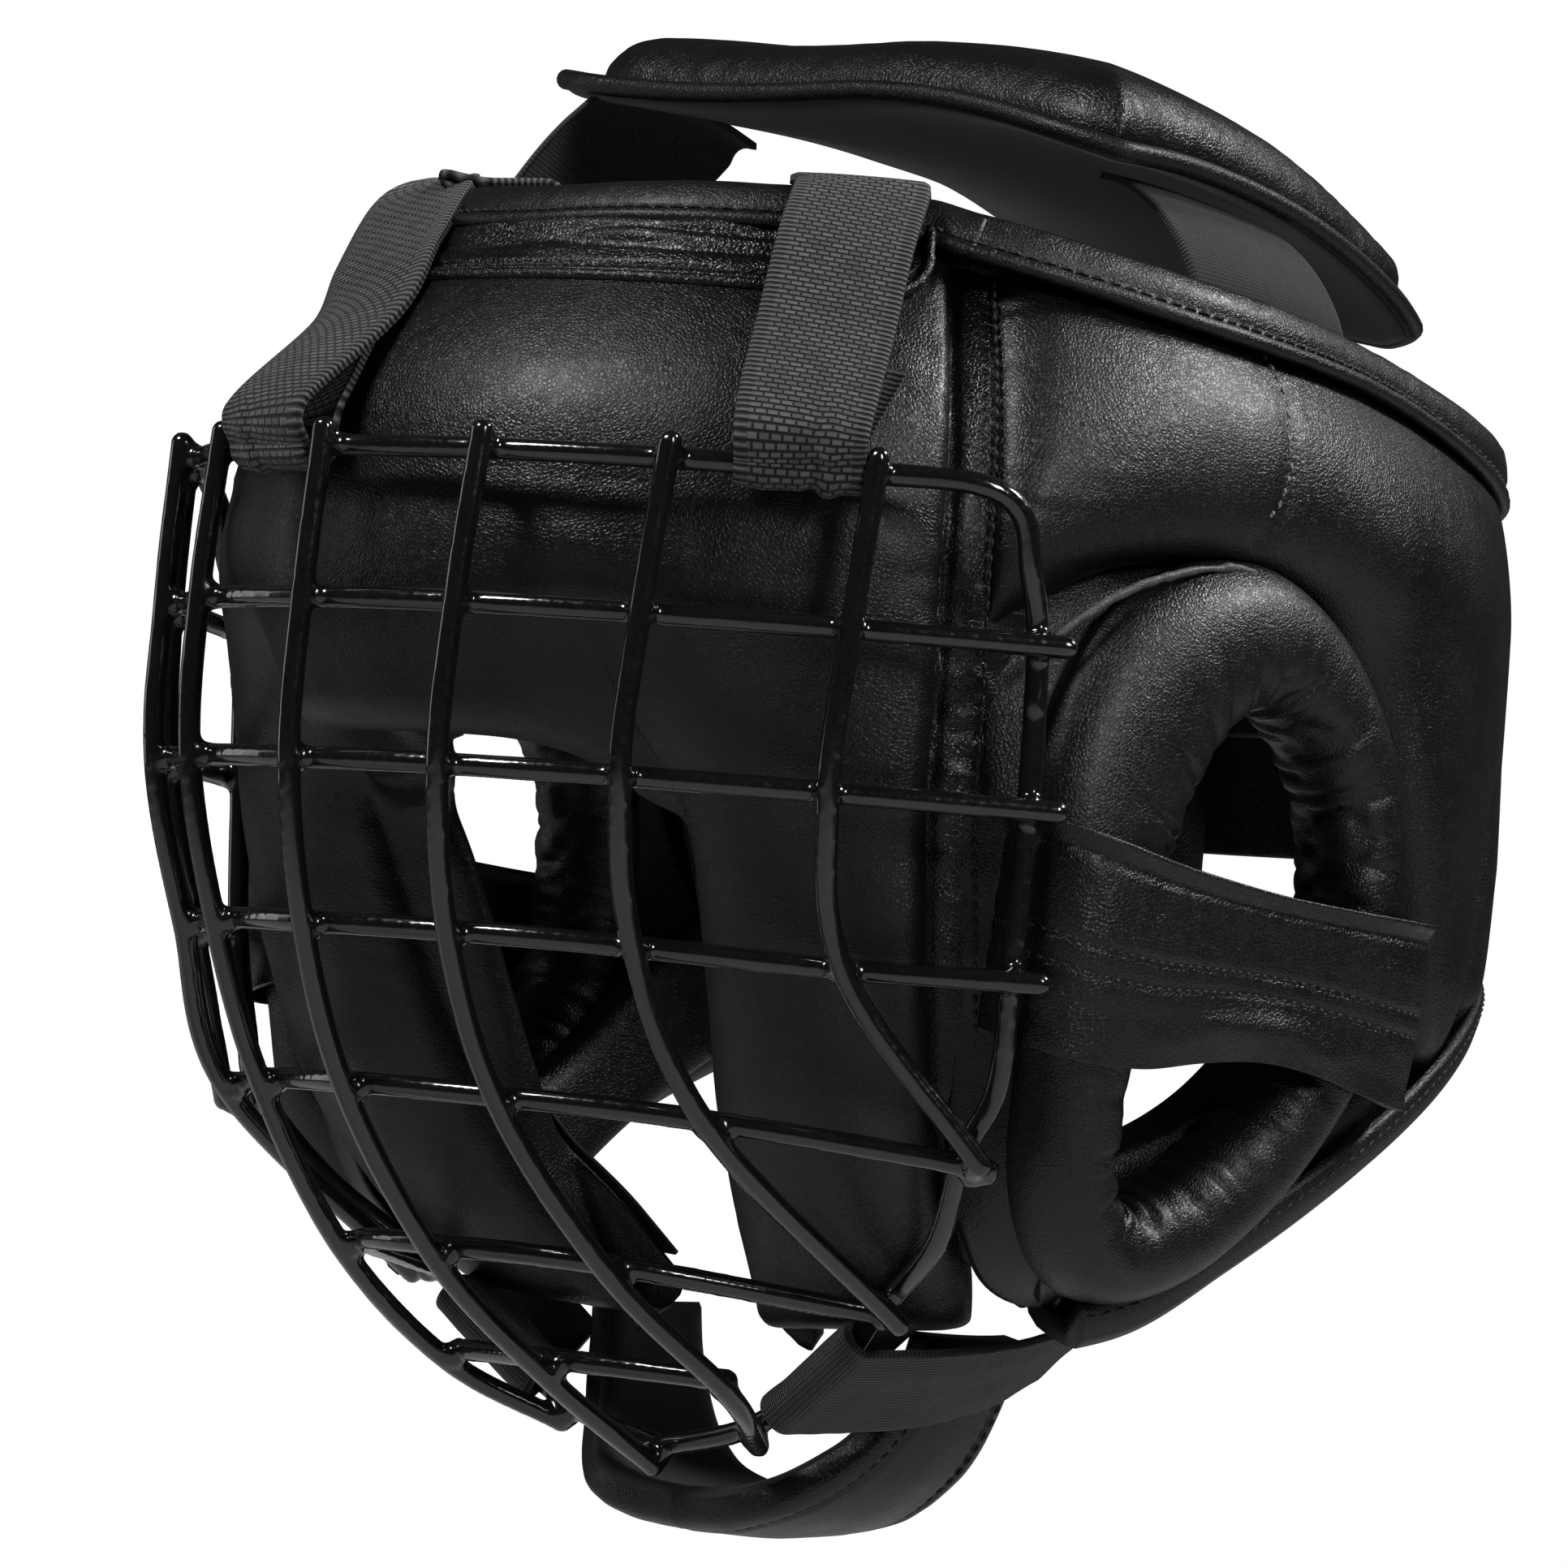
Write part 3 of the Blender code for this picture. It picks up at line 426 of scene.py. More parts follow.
def knit(name, dark, light, pitch, rough=0.82):
    """Fine rib-knit elastic: columns of small loops in the tape's own length direction."""
    n = Nodes(name, light, rough, Specular_IOR_Level=0.3, Sheen_Weight=0.25, Sheen_Roughness=0.5)
    uv = n.add("UVMap", {"uv_map": "lay"}).outputs[0]
    rib = n.add("TexWave", {"bands_direction": "X", "wave_profile": "SIN"}, Vector=uv,
                Scale=0.314 / (pitch * MM), Distortion=0.4, Detail=1.0)
    loop = n.add("TexWave", {"bands_direction": "Y", "wave_profile": "SIN"}, Vector=uv,
                 Scale=0.314 / (pitch * 1.25 * MM), Distortion=0.6, Detail=1.0)
    fuzz = n.add("TexNoise", None, Vector=uv, Scale=3200.0, Detail=3.0)
    cloth = n.maths("MULTIPLY", rib.outputs["Fac"], n.maths("ADD", loop.outputs["Fac"], 0.6))
    cloud = n.add("TexNoise", None, Vector=uv, Scale=60.0, Detail=3.0)
    n.colour(n.maths("MULTIPLY", cloth, n.maths("ADD", cloud.outputs["Fac"], 0.35)), dark, light)
    n.bump([(cloth, 0.8, 0.28), (fuzz.outputs["Fac"], 0.35, 0.06)])
    return n.mat


def webbing(name, dark, light):
    """Basket-woven strap: staggered floats in the middle and a ribbed edge on each side."""
    n = Nodes(name, light, 0.62, Specular_IOR_Level=0.35, Sheen_Weight=0.15)
    uv = n.add("UVMap", {"uv_map": "lay"}).outputs[0]
    split = n.add("SeparateXYZ", None, Vector=uv)
    floats = n.add("TexBrick", {"offset": 0.5, "offset_frequency": 2}, Vector=uv,
                   Color1=(1, 1, 1, 1), Color2=(0.72, 0.72, 0.72, 1), Mortar=(0, 0, 0, 1),
                   Scale=1.0, Mortar_Size=0.00034, Mortar_Smooth=0.9, Bias=0.0,
                   Brick_Width=0.0023, Row_Height=0.00125)
    rib = n.add("TexWave", {"bands_direction": "Y", "wave_profile": "SIN"}, Vector=uv,
                Scale=0.314 / (1.25 * MM), Distortion=0.0)
    away = n.maths("ABSOLUTE", split.outputs["X"])
    edge = n.spread(away, 0.0100, 0.0103)
    weave = n.add("Mix", {"data_type": "FLOAT"}, Factor=edge,
                  i2=n.maths("MULTIPLY", floats.outputs["Color"], 1.0),
                  i3=rib.outputs["Fac"]).outputs[0]
    fuzz = n.add("TexNoise", None, Vector=uv, Scale=4200.0, Detail=2.0)
    n.colour(n.maths("MULTIPLY", n.maths("POWER", weave, 1.6),
                     n.maths("ADD", fuzz.outputs["Fac"], 0.5)), dark, light)
    n.bump([(weave, 1.0, 0.45), (fuzz.outputs["Fac"], 0.3, 0.05)])
    return n.mat


def coating(name):
    """Thick glossy dip coating over steel wire, with the slow waviness of a dip."""
    n = Nodes(name, (0.006, 0.006, 0.0065), 0.16, Specular_IOR_Level=0.55, Coat_Weight=0.6,
              Coat_Roughness=0.06)
    spot = n.place()
    wave = n.add("TexNoise", None, Vector=spot, Scale=160.0, Detail=2.0)
    fine = n.add("TexNoise", None, Vector=spot, Scale=900.0, Detail=3.0)
    n.colour(wave.outputs["Fac"], (0.004, 0.004, 0.0045), (0.010, 0.010, 0.011))
    n.rough(n.spread(fine.outputs["Fac"], 0.35, 0.7, 0.12, 0.27))
    n.bump([(wave.outputs["Fac"], 0.35, 0.30), (fine.outputs["Fac"], 0.12, 0.05)])
    return n.mat


def suede(name, dark, light, scale=1500.0):
    """Napped cloth with brushed patches."""
    n = Nodes(name, light, 0.92, Specular_IOR_Level=0.2, Sheen_Weight=0.35, Sheen_Roughness=0.6)
    spot = n.place()
    nap = n.add("TexNoise", None, Vector=spot, Scale=scale, Detail=4.0, Roughness=0.7)
    brushed = n.add("TexNoise", None, Vector=spot, Scale=70.0, Detail=4.0)
    n.colour(n.maths("MULTIPLY", nap.outputs["Fac"], n.maths("ADD", brushed.outputs["Fac"], 0.5)),
             dark, light)
    n.bump([(nap.outputs["Fac"], 0.5, 0.15)])
    return n.mat


def thread(name, dark, light):
    """Twisted sewing thread."""
    n = Nodes(name, light, 0.55, Specular_IOR_Level=0.4)
    twist = n.add("TexWave", {"bands_direction": "DIAGONAL"}, Vector=n.place(), Scale=420.0,
                  Distortion=1.0)
    n.colour(twist.outputs["Fac"], dark, light)
    n.bump([(twist.outputs["Fac"], 0.5, 0.1)])
    return n.mat


def woven_label(name):
    """Plain weave of the blank label."""
    n = Nodes(name, (0.78, 0.78, 0.77), 0.7, Specular_IOR_Level=0.3)
    uv = n.add("UVMap", {"uv_map": "lay"}).outputs[0]
    warp = n.add("TexWave", {"bands_direction": "X"}, Vector=uv, Scale=0.314 / (0.45 * MM))
    weft = n.add("TexWave", {"bands_direction": "Y"}, Vector=uv, Scale=0.314 / (0.55 * MM))
    cloth = n.maths("MULTIPLY", warp.outputs["Fac"], weft.outputs["Fac"])
    n.colour(cloth, (0.60, 0.60, 0.59), (0.84, 0.84, 0.83))
    n.bump([(cloth, 0.5, 0.12)])
    return n.mat


HIDE = leather("padded_leather", (0.0012, 0.0012, 0.0013), (0.0048, 0.0048, 0.005), 0.30, 0.50,
               crackle=0.10)
FLAP_HIDE = leather("thin_leather", (0.0012, 0.0012, 0.0013), (0.0055, 0.0055, 0.0058), 0.24, 0.40,
                    grain=1.3, crackle=0.3)
BINDING = leather("binding_leather", (0.001, 0.001, 0.0011), (0.004, 0.004, 0.0042), 0.36, 0.55,
                  crackle=0.15)
EDGE_HIDE = leather("raw_edge", (0.05, 0.05, 0.05), (0.16, 0.16, 0.155), 0.5, 0.7)
LINING = suede("suede_lining", (0.0015, 0.0015, 0.0016), (0.005, 0.005, 0.0052))
KNIT = knit("knit_elastic", (0.003, 0.003, 0.0032), (0.040, 0.040, 0.042), 0.62)
WEB = webbing("woven_strap", (0.001, 0.001, 0.0011), (0.11, 0.11, 0.115))
COAT = coating("dip_coating")
PILE = suede("hook_and_loop_pile", (0.004, 0.004, 0.0045), (0.025, 0.025, 0.026), 900.0)
THREAD = thread("black_thread", (0.006, 0.006, 0.0065), (0.032, 0.032, 0.033))
GREY_THREAD = thread("grey_thread", (0.05, 0.05, 0.05), (0.24, 0.24, 0.235))
LABEL = woven_label("blank_label_cloth")


# ---------------------------------------------------------------- shell of the headguard

def ellipse(t, z):
    rad = np.radians(t)
    depth = np.where(t < 90, HALF_FRONT, HALF_REAR)
    top = along(t, RIM_T, RIM_Z)
    q = np.clip((z - CLOSE_Z) / (top - CLOSE_Z), 0, 1.05)
    scale = 1 - (1 - along(t, RIM_T, RIM_SCALE)) * q ** 1.75
    scale = scale - 0.12 * (np.maximum(-z, 0) / 60.0) ** 1.3
    return np.stack([HALF_WIDTH * np.sin(rad) * scale, -depth * np.cos(rad) * scale,
                     z + 0 * t], -1)


STATION_S = np.linspace(0, 1, 5)
STATION_T = np.degrees([math.atan2(x / HALF_WIDTH, -y / HALF_FRONT) for x, y in CHEEK_XY[0]])
HIGH_Z = (78.0, 98.0)
FRONT_Z = np.array(CHEEK_Z[::-1] + list(HIGH_Z), float)
FRONT_XY = np.concatenate([np.array(CHEEK_XY[::-1], float),
                           np.stack([ellipse(STATION_T, np.full(5, z))[:, :2] for z in HIGH_Z])])


def shell(t, z):
    """Points of the outer surface at angles t and heights z."""
    t, z = np.broadcast_arrays(np.asarray(t, float), np.asarray(z, float))
    side, a = np.where(t < 0, -1.0, 1.0), abs(t)
    s = np.clip((SEAM_T - a) / (SEAM_T - INNER_T), 0, 1)
    warped = np.where((a > INNER_T) & (a < SEAM_T), along(s, STATION_S, STATION_T), a)
    high = ellipse(warped, z)
    table = along(z, FRONT_Z, FRONT_XY)
    ext = np.concatenate([2 * table[..., :1, :] - table[..., 1:2, :], table,
                          2 * table[..., 4:, :] - table[..., 3:4, :]], -2)
    k = np.minimum(np.floor(s * 4), 3).astype(int)
    f = (s * 4 - k)[..., None]
    p = [np.take_along_axis(ext, (k + i)[..., None, None].repeat(2, -1), -2)[..., 0, :]
         for i in range(4)]
    xy = 0.5 * (2 * p[1] + (p[2] - p[0]) * f + (2 * p[0] - 5 * p[1] + 4 * p[2] - p[3]) * f ** 2
                + (3 * p[1] - p[0] - 3 * p[2] + p[3]) * f ** 3)
    cheek = np.concatenate([xy, z[..., None]], -1)
    sink = 6.0 * (np.maximum(60 - z, 0) / 34.0) ** 2
    edge = table[..., 4, :]
    flat = ellipse(np.full(a.shape, INNER_T), z)
    u = np.clip(a / INNER_T, 0, 1)
    drop = edge[..., 1] - (flat[..., 1] + sink)
    brow = np.stack([edge[..., 0] * np.sin(np.radians(a)) / math.sin(math.radians(INNER_T)),
                     high[..., 1] + sink + drop * u ** 3.4, z], -1)
    low = np.where((a < INNER_T)[..., None], brow, cheek)
    out = np.where(((a > SEAM_T) | (z >= HIGH_Z[0]))[..., None], high, low)
    return out * np.stack([side, np.ones_like(side), np.ones_like(side)], -1)


def shell_normal(t, z):
    t, z = np.asarray(t, float), np.asarray(z, float)
    across = shell(t + 0.6, z) - shell(t - 0.6, z)
    rise = shell(t, z + 0.8) - shell(t, z - 0.8)
    return unit(np.cross(across, rise))


def rim_z(t):
    return along(abs(np.asarray(t, float)), RIM_T, RIM_Z)


def rolled(d, radius, depth):
    """How far a padded edge has rolled down at distance d from it."""
    x = np.clip(1 - d / radius, 0, 1)
    return depth * (1 - np.sqrt(np.maximum(1 - x * x, 0)))


def eased(count, amount=0.6):
    """Even steps from 0 to 1 that crowd towards both ends."""
    x = np.linspace(0, 1, count)
    return (1 - amount) * x + amount * (0.5 - 0.5 * np.cos(np.pi * x))


def pad(name, base, normal, drop, lift, thick, slot, mats, replaces=(), fill=0.85, under=6.0):
    """A stuffed leather pad: `drop` and `lift` shape the outside, and the back edge is rounded."""
    d = edge_run(base)
    back = np.minimum(thick - rolled(d, 8.0, under), thick)
    front = np.minimum(drop - lift, back - 0.8)
    outer = base - normal * front[..., None]
    inner = base - normal * back[..., None]
    points, faces, _ = two_sided(outer, inner)
    obj = piece(name, points, faces, "headguard", slot, mats, replaces)
    return outer


def skin(name, grid, normal, depth, thick, body, slot, mat, replaces=()):
    """A thin layer under a surface."""
    outer = grid - normal * depth
    points, faces, _ = two_sided(outer, outer - normal * thick)
    return piece(name, points, faces, body, slot, [mat], replaces)


def build_front_pad():
    """Brow and both cheeks: one padded leather panel round the face opening."""
    inner_brow = smooth_path([(0, 27), (8, 27), (14.5, 26.6), (18.6, 24.5), (21.2, 20.5)], 80)
    inner_side = smooth_path([(21.2, 20.5), (22.3, 14), (22.3, 0), (22.3, -25), (22.3, -50),
                              (22.3, -81)], 150)
    end = 54.2
    outer_brow = np.stack([np.linspace(0, end, 80), rim_z(np.linspace(0, end, 80)) - 1.0], -1)
    outer_side = np.stack([np.full(150, end), np.linspace(rim_z(end) - 1.0, -78, 150)], -1)
    half_in = np.vstack([inner_brow, inner_side[1:]])
    half_out = np.vstack([outer_brow, outer_side[1:]])
    flip = np.array([-1.0, 1.0])
    line_in = np.vstack([half_in[:0:-1] * flip, half_in])
    line_out = np.vstack([half_out[:0:-1] * flip, half_out])
    w = eased(84)[None, :, None]
    tz = line_in[:, None] + (line_out - line_in)[:, None] * w
    t, z = tz[..., 0], tz[..., 1]
    base, normal = shell(t, z), shell_normal(t, z)
    rows = np.arange(len(line_in))[:, None] - (len(line_in) - 1) / 2
    on_side = np.clip((abs(rows) - 70) / 18, 0, 1)
    from_in = grid_run(base, 1)
    from_out = grid_run(base[:, ::-1], 1)[:, ::-1]
    from_end = end_run(base)
    outer_roll = rolled(from_out, 9, 5.5) * on_side + rolled(from_out, 6, 2.5) * (1 - on_side)
    drop = np.sqrt(rolled(from_in, 11, 9.5) ** 2 + rolled(from_end, 12, 8.5) ** 2 + outer_roll ** 2)
    lift = 3.4 * (1 - np.exp(-from_in / 12)) * (1 - np.exp(-from_out / 12)) \
        * (1 - np.exp(-from_end / 14))
    # the brow is a roll above the cage wire and a flatter band below it
    high = bell(z, 100, 22) * np.clip((50 - abs(t)) / 10, 0, 1)
    lift += 1.6 * high - 1.2 * bell(z, 76, 9) * np.clip((44 - abs(t)) / 10, 0, 1)
    # puckers where the leather is drawn into its seams
    seam = np.exp(-from_out / 9) * on_side * field(z / 3.4 + 9, from_out / 30, 1)
    corner = np.exp(-from_in / 16) * bell(z, 26, 26) * np.clip((abs(t) - 14) / 6, 0, 1)
    spokes = field(np.degrees(np.arctan2(z - 14, abs(t) - 30)) / 7, from_in / 40, 2)
    strap = bell(z, 92, 20) * bell(abs(t), 40, 8) * field((z + abs(t)) / 3.6, (z - abs(t)) / 26, 3)
    lift += 0.70 * seam + 0.75 * corner * spokes + 0.60 * strap
    lift += 0.5 * field(base[..., 0] / 22, base[..., 2] / 16, 4)
    lift += 0.10 * field(base[..., 0] / 5, z / 2.2, 6)
    lift += 0.28 * field(base[..., 0] / 9 + 4, z / 3.0, 5) * bell(z, 74, 14) \
        * np.clip((abs(t) - 20) / 8, 0, 1)
    pad("front_pad", base, normal, drop, lift, 19.6, "black_leather", [HIDE],
        ("brow_leather", "brow_foam", "cheek_leather_left", "cheek_foam_left",
         "cheek_leather_right", "cheek_foam_right"))
    inset = slice(6, -6)
    skin("front_lining", base[inset, 5:-3], normal[inset, 5:-3], 19.9, 1.2, "headguard",
         "suede_lining", LINING, ("brow_lining", "cheek_lining_left", "cheek_lining_right"))


def seam_frame(z):
    """Edge of the front panel beside the ear, with its tangent and normal."""
    z = np.asarray(z, float)
    edge = shell(np.full(z.shape, 56.7), z)
    ahead = unit(edge - shell(np.full(z.shape, 52.5), z))
    normal = shell_normal(np.full(z.shape, 55.0), z)
    return edge, ahead, normal


def build_seam_strips():
    """Flat leather strip between the two vertical seams in front of each ear."""
    z = np.linspace(rim_z(57.0) - 2, -64, 230)
    edge, ahead, normal = seam_frame(z)
    v = np.linspace(-1, 1, 17)[None, :]
    widen = 5.6 + 2.2 * np.clip((50 - z) / 50, 0, 1)
    crumple = np.clip((72 - z) / 12, 0, 1) * np.clip((z + 2) / 10, 0, 1)
    height = -4.3 + 0.9 * (1 - v ** 2) - 1.2 * bell(v, -0.55, 0.16)
    height = height + 0.9 * crumple[:, None] * field(z[:, None] / 2.6, v * 1.4, 11)
    height = height + 0.25 * field(z[:, None] / 5.0, v * 1.1, 12)
    grid = (edge[:, None] + ahead[:, None] * (v * widen[:, None] + 0.6)[..., None]
            + normal[:, None] * height[..., None])
    for side, tag in SIDES:
        points, faces, _ = two_sided(grid, grid - normal[:, None] * 1.5)
        piece("seam_strip" + tag, mirror_of(points, side), faces, "headguard", "black_leather",
              [FLAP_HIDE])
        for k, (offset, mat) in enumerate(((-4.4, GREY_THREAD), (5.2, THREAD))):
            line = edge + ahead * offset + normal * (-3.3 if k == 0 else -2.5)
            stitches("seam_stitch_%d%s" % (k + 1, tag), mirror_of(line[:-8], side),
                     mirror_of(normal[:-8], side), mat=mat, pitch=2.9)


SIDE_LOW_T = [58, 62, 68, 76, 84, 92, 99, 105, 110, 114, 118, 124, 134, 146, 168]
SIDE_LOW_Z = [50, 58, 66, 72.5, 74.5, 72, 63, 44, 12, -12, -20.5, -15, -7, 0, 4]
DART = [(98, 0.5, 118), (103, 0, 109), (107.5, -2.5, 97), (110.5, -5.5, 86), (111.5, -9, 78)]


def build_side_pads():
    """One padded panel each side: over the ear, then round to the rear closure."""
    t_line = 59.6 + (168 - 59.6) * eased(190, 0.35)
    low = along(t_line, SIDE_LOW_T, SIDE_LOW_Z)
    high = rim_z(t_line) - 1.0
    v = eased(110)[:, None]
    z = low[None, :] + (high - low)[None, :] * v
    t = t_line[None, :] + 0 * z
    base, normal = shell(t, z), shell_normal(t, z)
    from_low, from_top = grid_run(base, 0), grid_run(base[::-1], 0)[::-1]
    from_front, from_back = grid_run(base, 1), grid_run(base[:, ::-1], 1)[:, ::-1]
    # near the ear the panel dives into the seam; towards the nape it only rounds off
    ear = np.clip((116 - t) / 6, 0, 1)
    drop = np.sqrt((rolled(from_low, 30, 9.5) * ear + rolled(from_low, 10, 4) * (1 - ear)) ** 2
                   + rolled(from_front, 13, 5.2) ** 2 + rolled(from_back, 9, 6.5) ** 2
                   + rolled(from_top, 7, 2.4) ** 2)
    lift = 3.2 * (1 - np.exp(-from_low / 16)) * (1 - np.exp(-from_top / 12)) \
        * (1 - np.exp(-from_front / 14)) * (1 - np.exp(-from_back / 10))
    # sewn channels down the back of the panel
    for centre, reach in ((127.0, 44.0), (141.0, 62.0), (155.0, 84.0)):
        groove = bell(t, centre + 0.05 * (z - 20), 1.9) * np.clip((reach - z) / 16, 0, 1)
        lift = lift - 3.4 * groove * np.clip(from_low / 6, 0, 1)
        lift = lift + 0.9 * bell(t, centre + 6.5, 4.5) * np.clip((reach - z) / 20, 0, 1)
    # the dart over the ear, and the valley under it
    line = smooth_path(DART, 60)
    gap = np.min(np.linalg.norm(base[:, :, None] - line[None, None, ::3], axis=-1), axis=-1)
    lift = lift - 1.3 * np.exp(-(gap / 2.2) ** 2)
    lift = lift - 2.6 * bell(t, 106, 9) * bell(z, 62, 16)
    pucker = np.exp(-from_front / 17) * np.clip((z - 56) / 12, 0, 1)
    sway = 0.35 * field(t / 5, z / 9, 20)
    lift = lift + 0.62 * pucker * field(z / 2.9 + sway, from_front / 34, 21)
    lift = lift + 0.45 * np.exp(-from_front / 26) * bell(z, 121, 5) * -1.6
    lift = lift + 0.30 * np.exp(-from_top / 6) * field(t / 1.9, from_top / 20, 22)
    lift = lift + 0.40 * field(base[..., 1] / 24, base[..., 2] / 20, 23)
    for side, tag in SIDES:
        n = mirror_of(normal, side)
        outer = pad("side_pad" + tag, mirror_of(base, side), n, drop, lift, 19.0, "black_leather",
                    [HIDE], ("temple_leather" + tag, "temple_foam" + tag, "rear_leather" + tag,
                             "rear_foam" + tag))
        inset = slice(4, -4)
        skin("side_lining" + tag, mirror_of(base, side)[inset, 4:-4], n[inset, 4:-4], 19.3, 1.2,
             "headguard", "suede_lining", LINING, ("rear_lining" + tag,))
        flat = outer.reshape(-1, 3)
        near = [int(np.argmin(np.linalg.norm(flat - p, axis=-1))) for p in mirror_of(line, side)]
        on, up = smooth_path(flat[near][::6], 60), n.reshape(-1, 3)[near]
        stitches("dart_stitch" + tag, on, up, mat=GREY_THREAD, pitch=2.7, length=2.0, radius=0.42)


def build_bindings():
    """Folded leather over the rim, with a row of stitches and a second fold under it."""
    turn = np.linspace(0, np.pi, 9)
    top = [(-4.6 + 7.4 * math.cos(a), 0.4 + 3.1 * math.sin(a)) for a in turn]
    profile = top + [(-12.2, -4.0), (-12.0, -8.5), (-10.0, -9.0), (-9.0, -5.0), (-1.0, -5.0),
                     (0.2, -9.8), (1.6, -10.4), (2.7, -9.6), (2.9, -8.2), (2.1, -7.0), (1.6, -6.3),
                     (2.2, -5.4), (2.8, -3.6), (2.9, -1.4)]
    seams = []
    for name, t0, t1 in (("rim_front", -58.8, 58.8), ("rim_left", 58.2, 168.0),
                         ("rim_right", -168.0, -58.2)):
        t = np.linspace(t0, t1, 200)
        z = rim_z(t)
        path = shell(t, z - 1) + np.array([0, 0, 4.6])
        outward = shell_normal(t, z - 5)
        rings, out, up = swept(path, outward, profile)
        ripple = 0.16 * field(np.arange(200)[:, None] / 3.1,
                              np.arange(len(profile))[None] / 3.0, 31)
        rings = rings + ripple[..., None] * out[:, None]
        replaced = name.replace("rim", "rim_binding")
        piece(name + "_welt", rings.reshape(-1, 3), ring_faces(200, len(profile), False),
              "headguard", "edge_binding", [BINDING], (replaced,))
        seams.append((name, path + out * 2.0 - up * 6.3, out))
    for name, line, out in seams:
        stitches(name + "_stitch", line, out, "headguard", "edge_binding", THREAD, pitch=3.3,
                 length=2.5, radius=0.42)


NAPE_T = [72, 82.5, 92, 105, 118, 130, 144, 168]
NAPE_Z = [-74, -68, -56, -39.5, -24.0, -11.5, -1.5, 3.5]


def build_nape():
    """Wide binding under the back of the neck."""
    profile = [(1.8, 6.5), (2.9, 4.5), (3.2, 1.5), (2.8, -1.5), (1.2, -3.6), (-2.0, -4.4),
               (-7.0, -4.6), (-12.0, -4.2), (-15.0, -2.6), (-16.2, 0.5), (-15.8, 4.5),
               (-14.0, 5.0), (-12.5, 0.5), (-3.0, 0.5), (0.2, 4.0)]
    t = np.linspace(76.0, 168.0, 190)
    low = along(t, NAPE_T, NAPE_Z)
    path = shell(t, low + 0.5)
    outward = shell_normal(t, low + 3)
    rings, out, up = swept(path, outward, profile)
    line = path + out * 3.0 + up * 3.2
    for side, tag in SIDES:
        piece("nape_welt" + tag, mirror_of(rings.reshape(-1, 3), side),
              ring_faces(190, len(profile), False), "headguard", "edge_binding", [BINDING],
              ("nape_binding" + tag,))
        stitches("nape_stitch" + tag, mirror_of(line, side), mirror_of(out, side), "headguard",
                 "edge_binding", THREAD, pitch=3.4, length=2.5)
    # stuffed roll between the binding and the ear ring
    t = np.linspace(121.0, 76.0, 170)
    z = along(t[::-1], [64, 74, 82.5, 92, 105, 121], [-67, -64.5, -59.5, -47, -30, -12])[::-1]
    depth = along(t[::-1], [64, 80, 92, 105, 121], [17, 12, 9.5, 8.5, 11])[::-1]
    inside = shell_normal(t, z)
    path = shell(t, z) - inside * depth[:, None]
    turn = np.linspace(0, 2 * np.pi, 40, endpoint=False)
    rings, out, up = swept(path, inside, np.stack([8.2 * np.cos(turn), 9.6 * np.sin(turn)], -1))
    pull = 0.35 * field(np.arange(170)[:, None] / 9.0, turn[None] / 1.3, 34) \
        - 0.5 * crease(np.arange(170)[:, None] / 13.0, turn[None] / 2.1, 35)
    rings = rings + pull[..., None] * unit(rings - path[:, None])
    for obj in pair("nape_roll", rings.reshape(-1, 3), ring_faces(170, 40, False), HIDE):
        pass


def build_flap():
    """Thin creased flap that hangs over the top of the brow, bound and stitched round its edge."""
    u = np.linspace(-1, 1, 220)
    t_line = 50.0 * (0.55 * u + 0.45 * np.sin(u * np.pi / 2))
    q = np.clip((abs(t_line) - 43) / 7.0, 0, 1)
    low = 113.5 + 9.5 * (1 - np.sqrt(1 - q ** 2 * 0.995))
    high = rim_z(t_line) - 3.5
    v = eased(60, 0.5)[:, None]
    z = low[None] + (high - low)[None] * v
    t = t_line[None] + 0 * z
    base, normal = shell(t, z), shell_normal(t, z)
    from_low = grid_run(base, 0)
    from_side = np.minimum(grid_run(base, 1), grid_run(base[:, ::-1], 1)[:, ::-1])
    edge = np.minimum(from_low, from_side)
    wave = 0.85 * field(base[..., 0] / 24, z / 2.4 + base[..., 0] / 48, 41)
    wave = wave + 0.55 * field(base[..., 0] / 13 + 3, z / 1.25 + base[..., 0] / 70, 42)
    wave = wave - 1.0 * crease(base[..., 0] / 30 + 7, z / 4.2, 43)
    inside = np.clip((edge - 4.5) / 5, 0, 1)
    height = 3.6 + 1.6 * (1 - np.exp(-from_low / 8)) + wave * inside
    height = height + 1.0 * bell(edge, 1.5, 1.4) - 0.8 * bell(edge, 3.4, 0.9)
    outer = base + normal * height[..., None]
    inner = base + normal * np.minimum(height - 1.1, 3.2)[..., None]
    points, faces, _ = two_sided(outer, inner)
    piece("brow_flap_leather", points, faces, "headguard", "black_leather", [FLAP_HIDE],
          ("brow_flap",))
    # stitch line and piping follow the lower edge and both ends
    row = int(np.argmin(abs(from_low[:, 110] - 3.4)))
    first = int(np.argmin(abs(grid_run(base, 1)[30] - 3.2)))
    last = len(t_line) - 1 - first
    lower = outer[row, first:last + 1]
    ends = [outer[row:-3, first][::-1], lower, outer[row:-3, last]]
    path = smooth_path(np.vstack(ends)[::5], 260)
    stitches("flap_stitch", path, unit(path * np.array([0.8, 1.0, 0.0]) + np.array([0, 0, 60.0])),
             pitch=2.6, length=1.9, radius=0.33)
    border = np.vstack([outer[1:-2, 1][::-1], outer[1, 2:-2], outer[1:-2, -2]])
    cord = smooth_path(border[::6], 320)
    points, faces = tube_mesh(cord, 1.25, 10)
    piece("flap_piping", points, faces, "headguard", "black_leather", [FLAP_HIDE])


# ---------------------------------------------------------------- ears

HOOP_X = 104.0
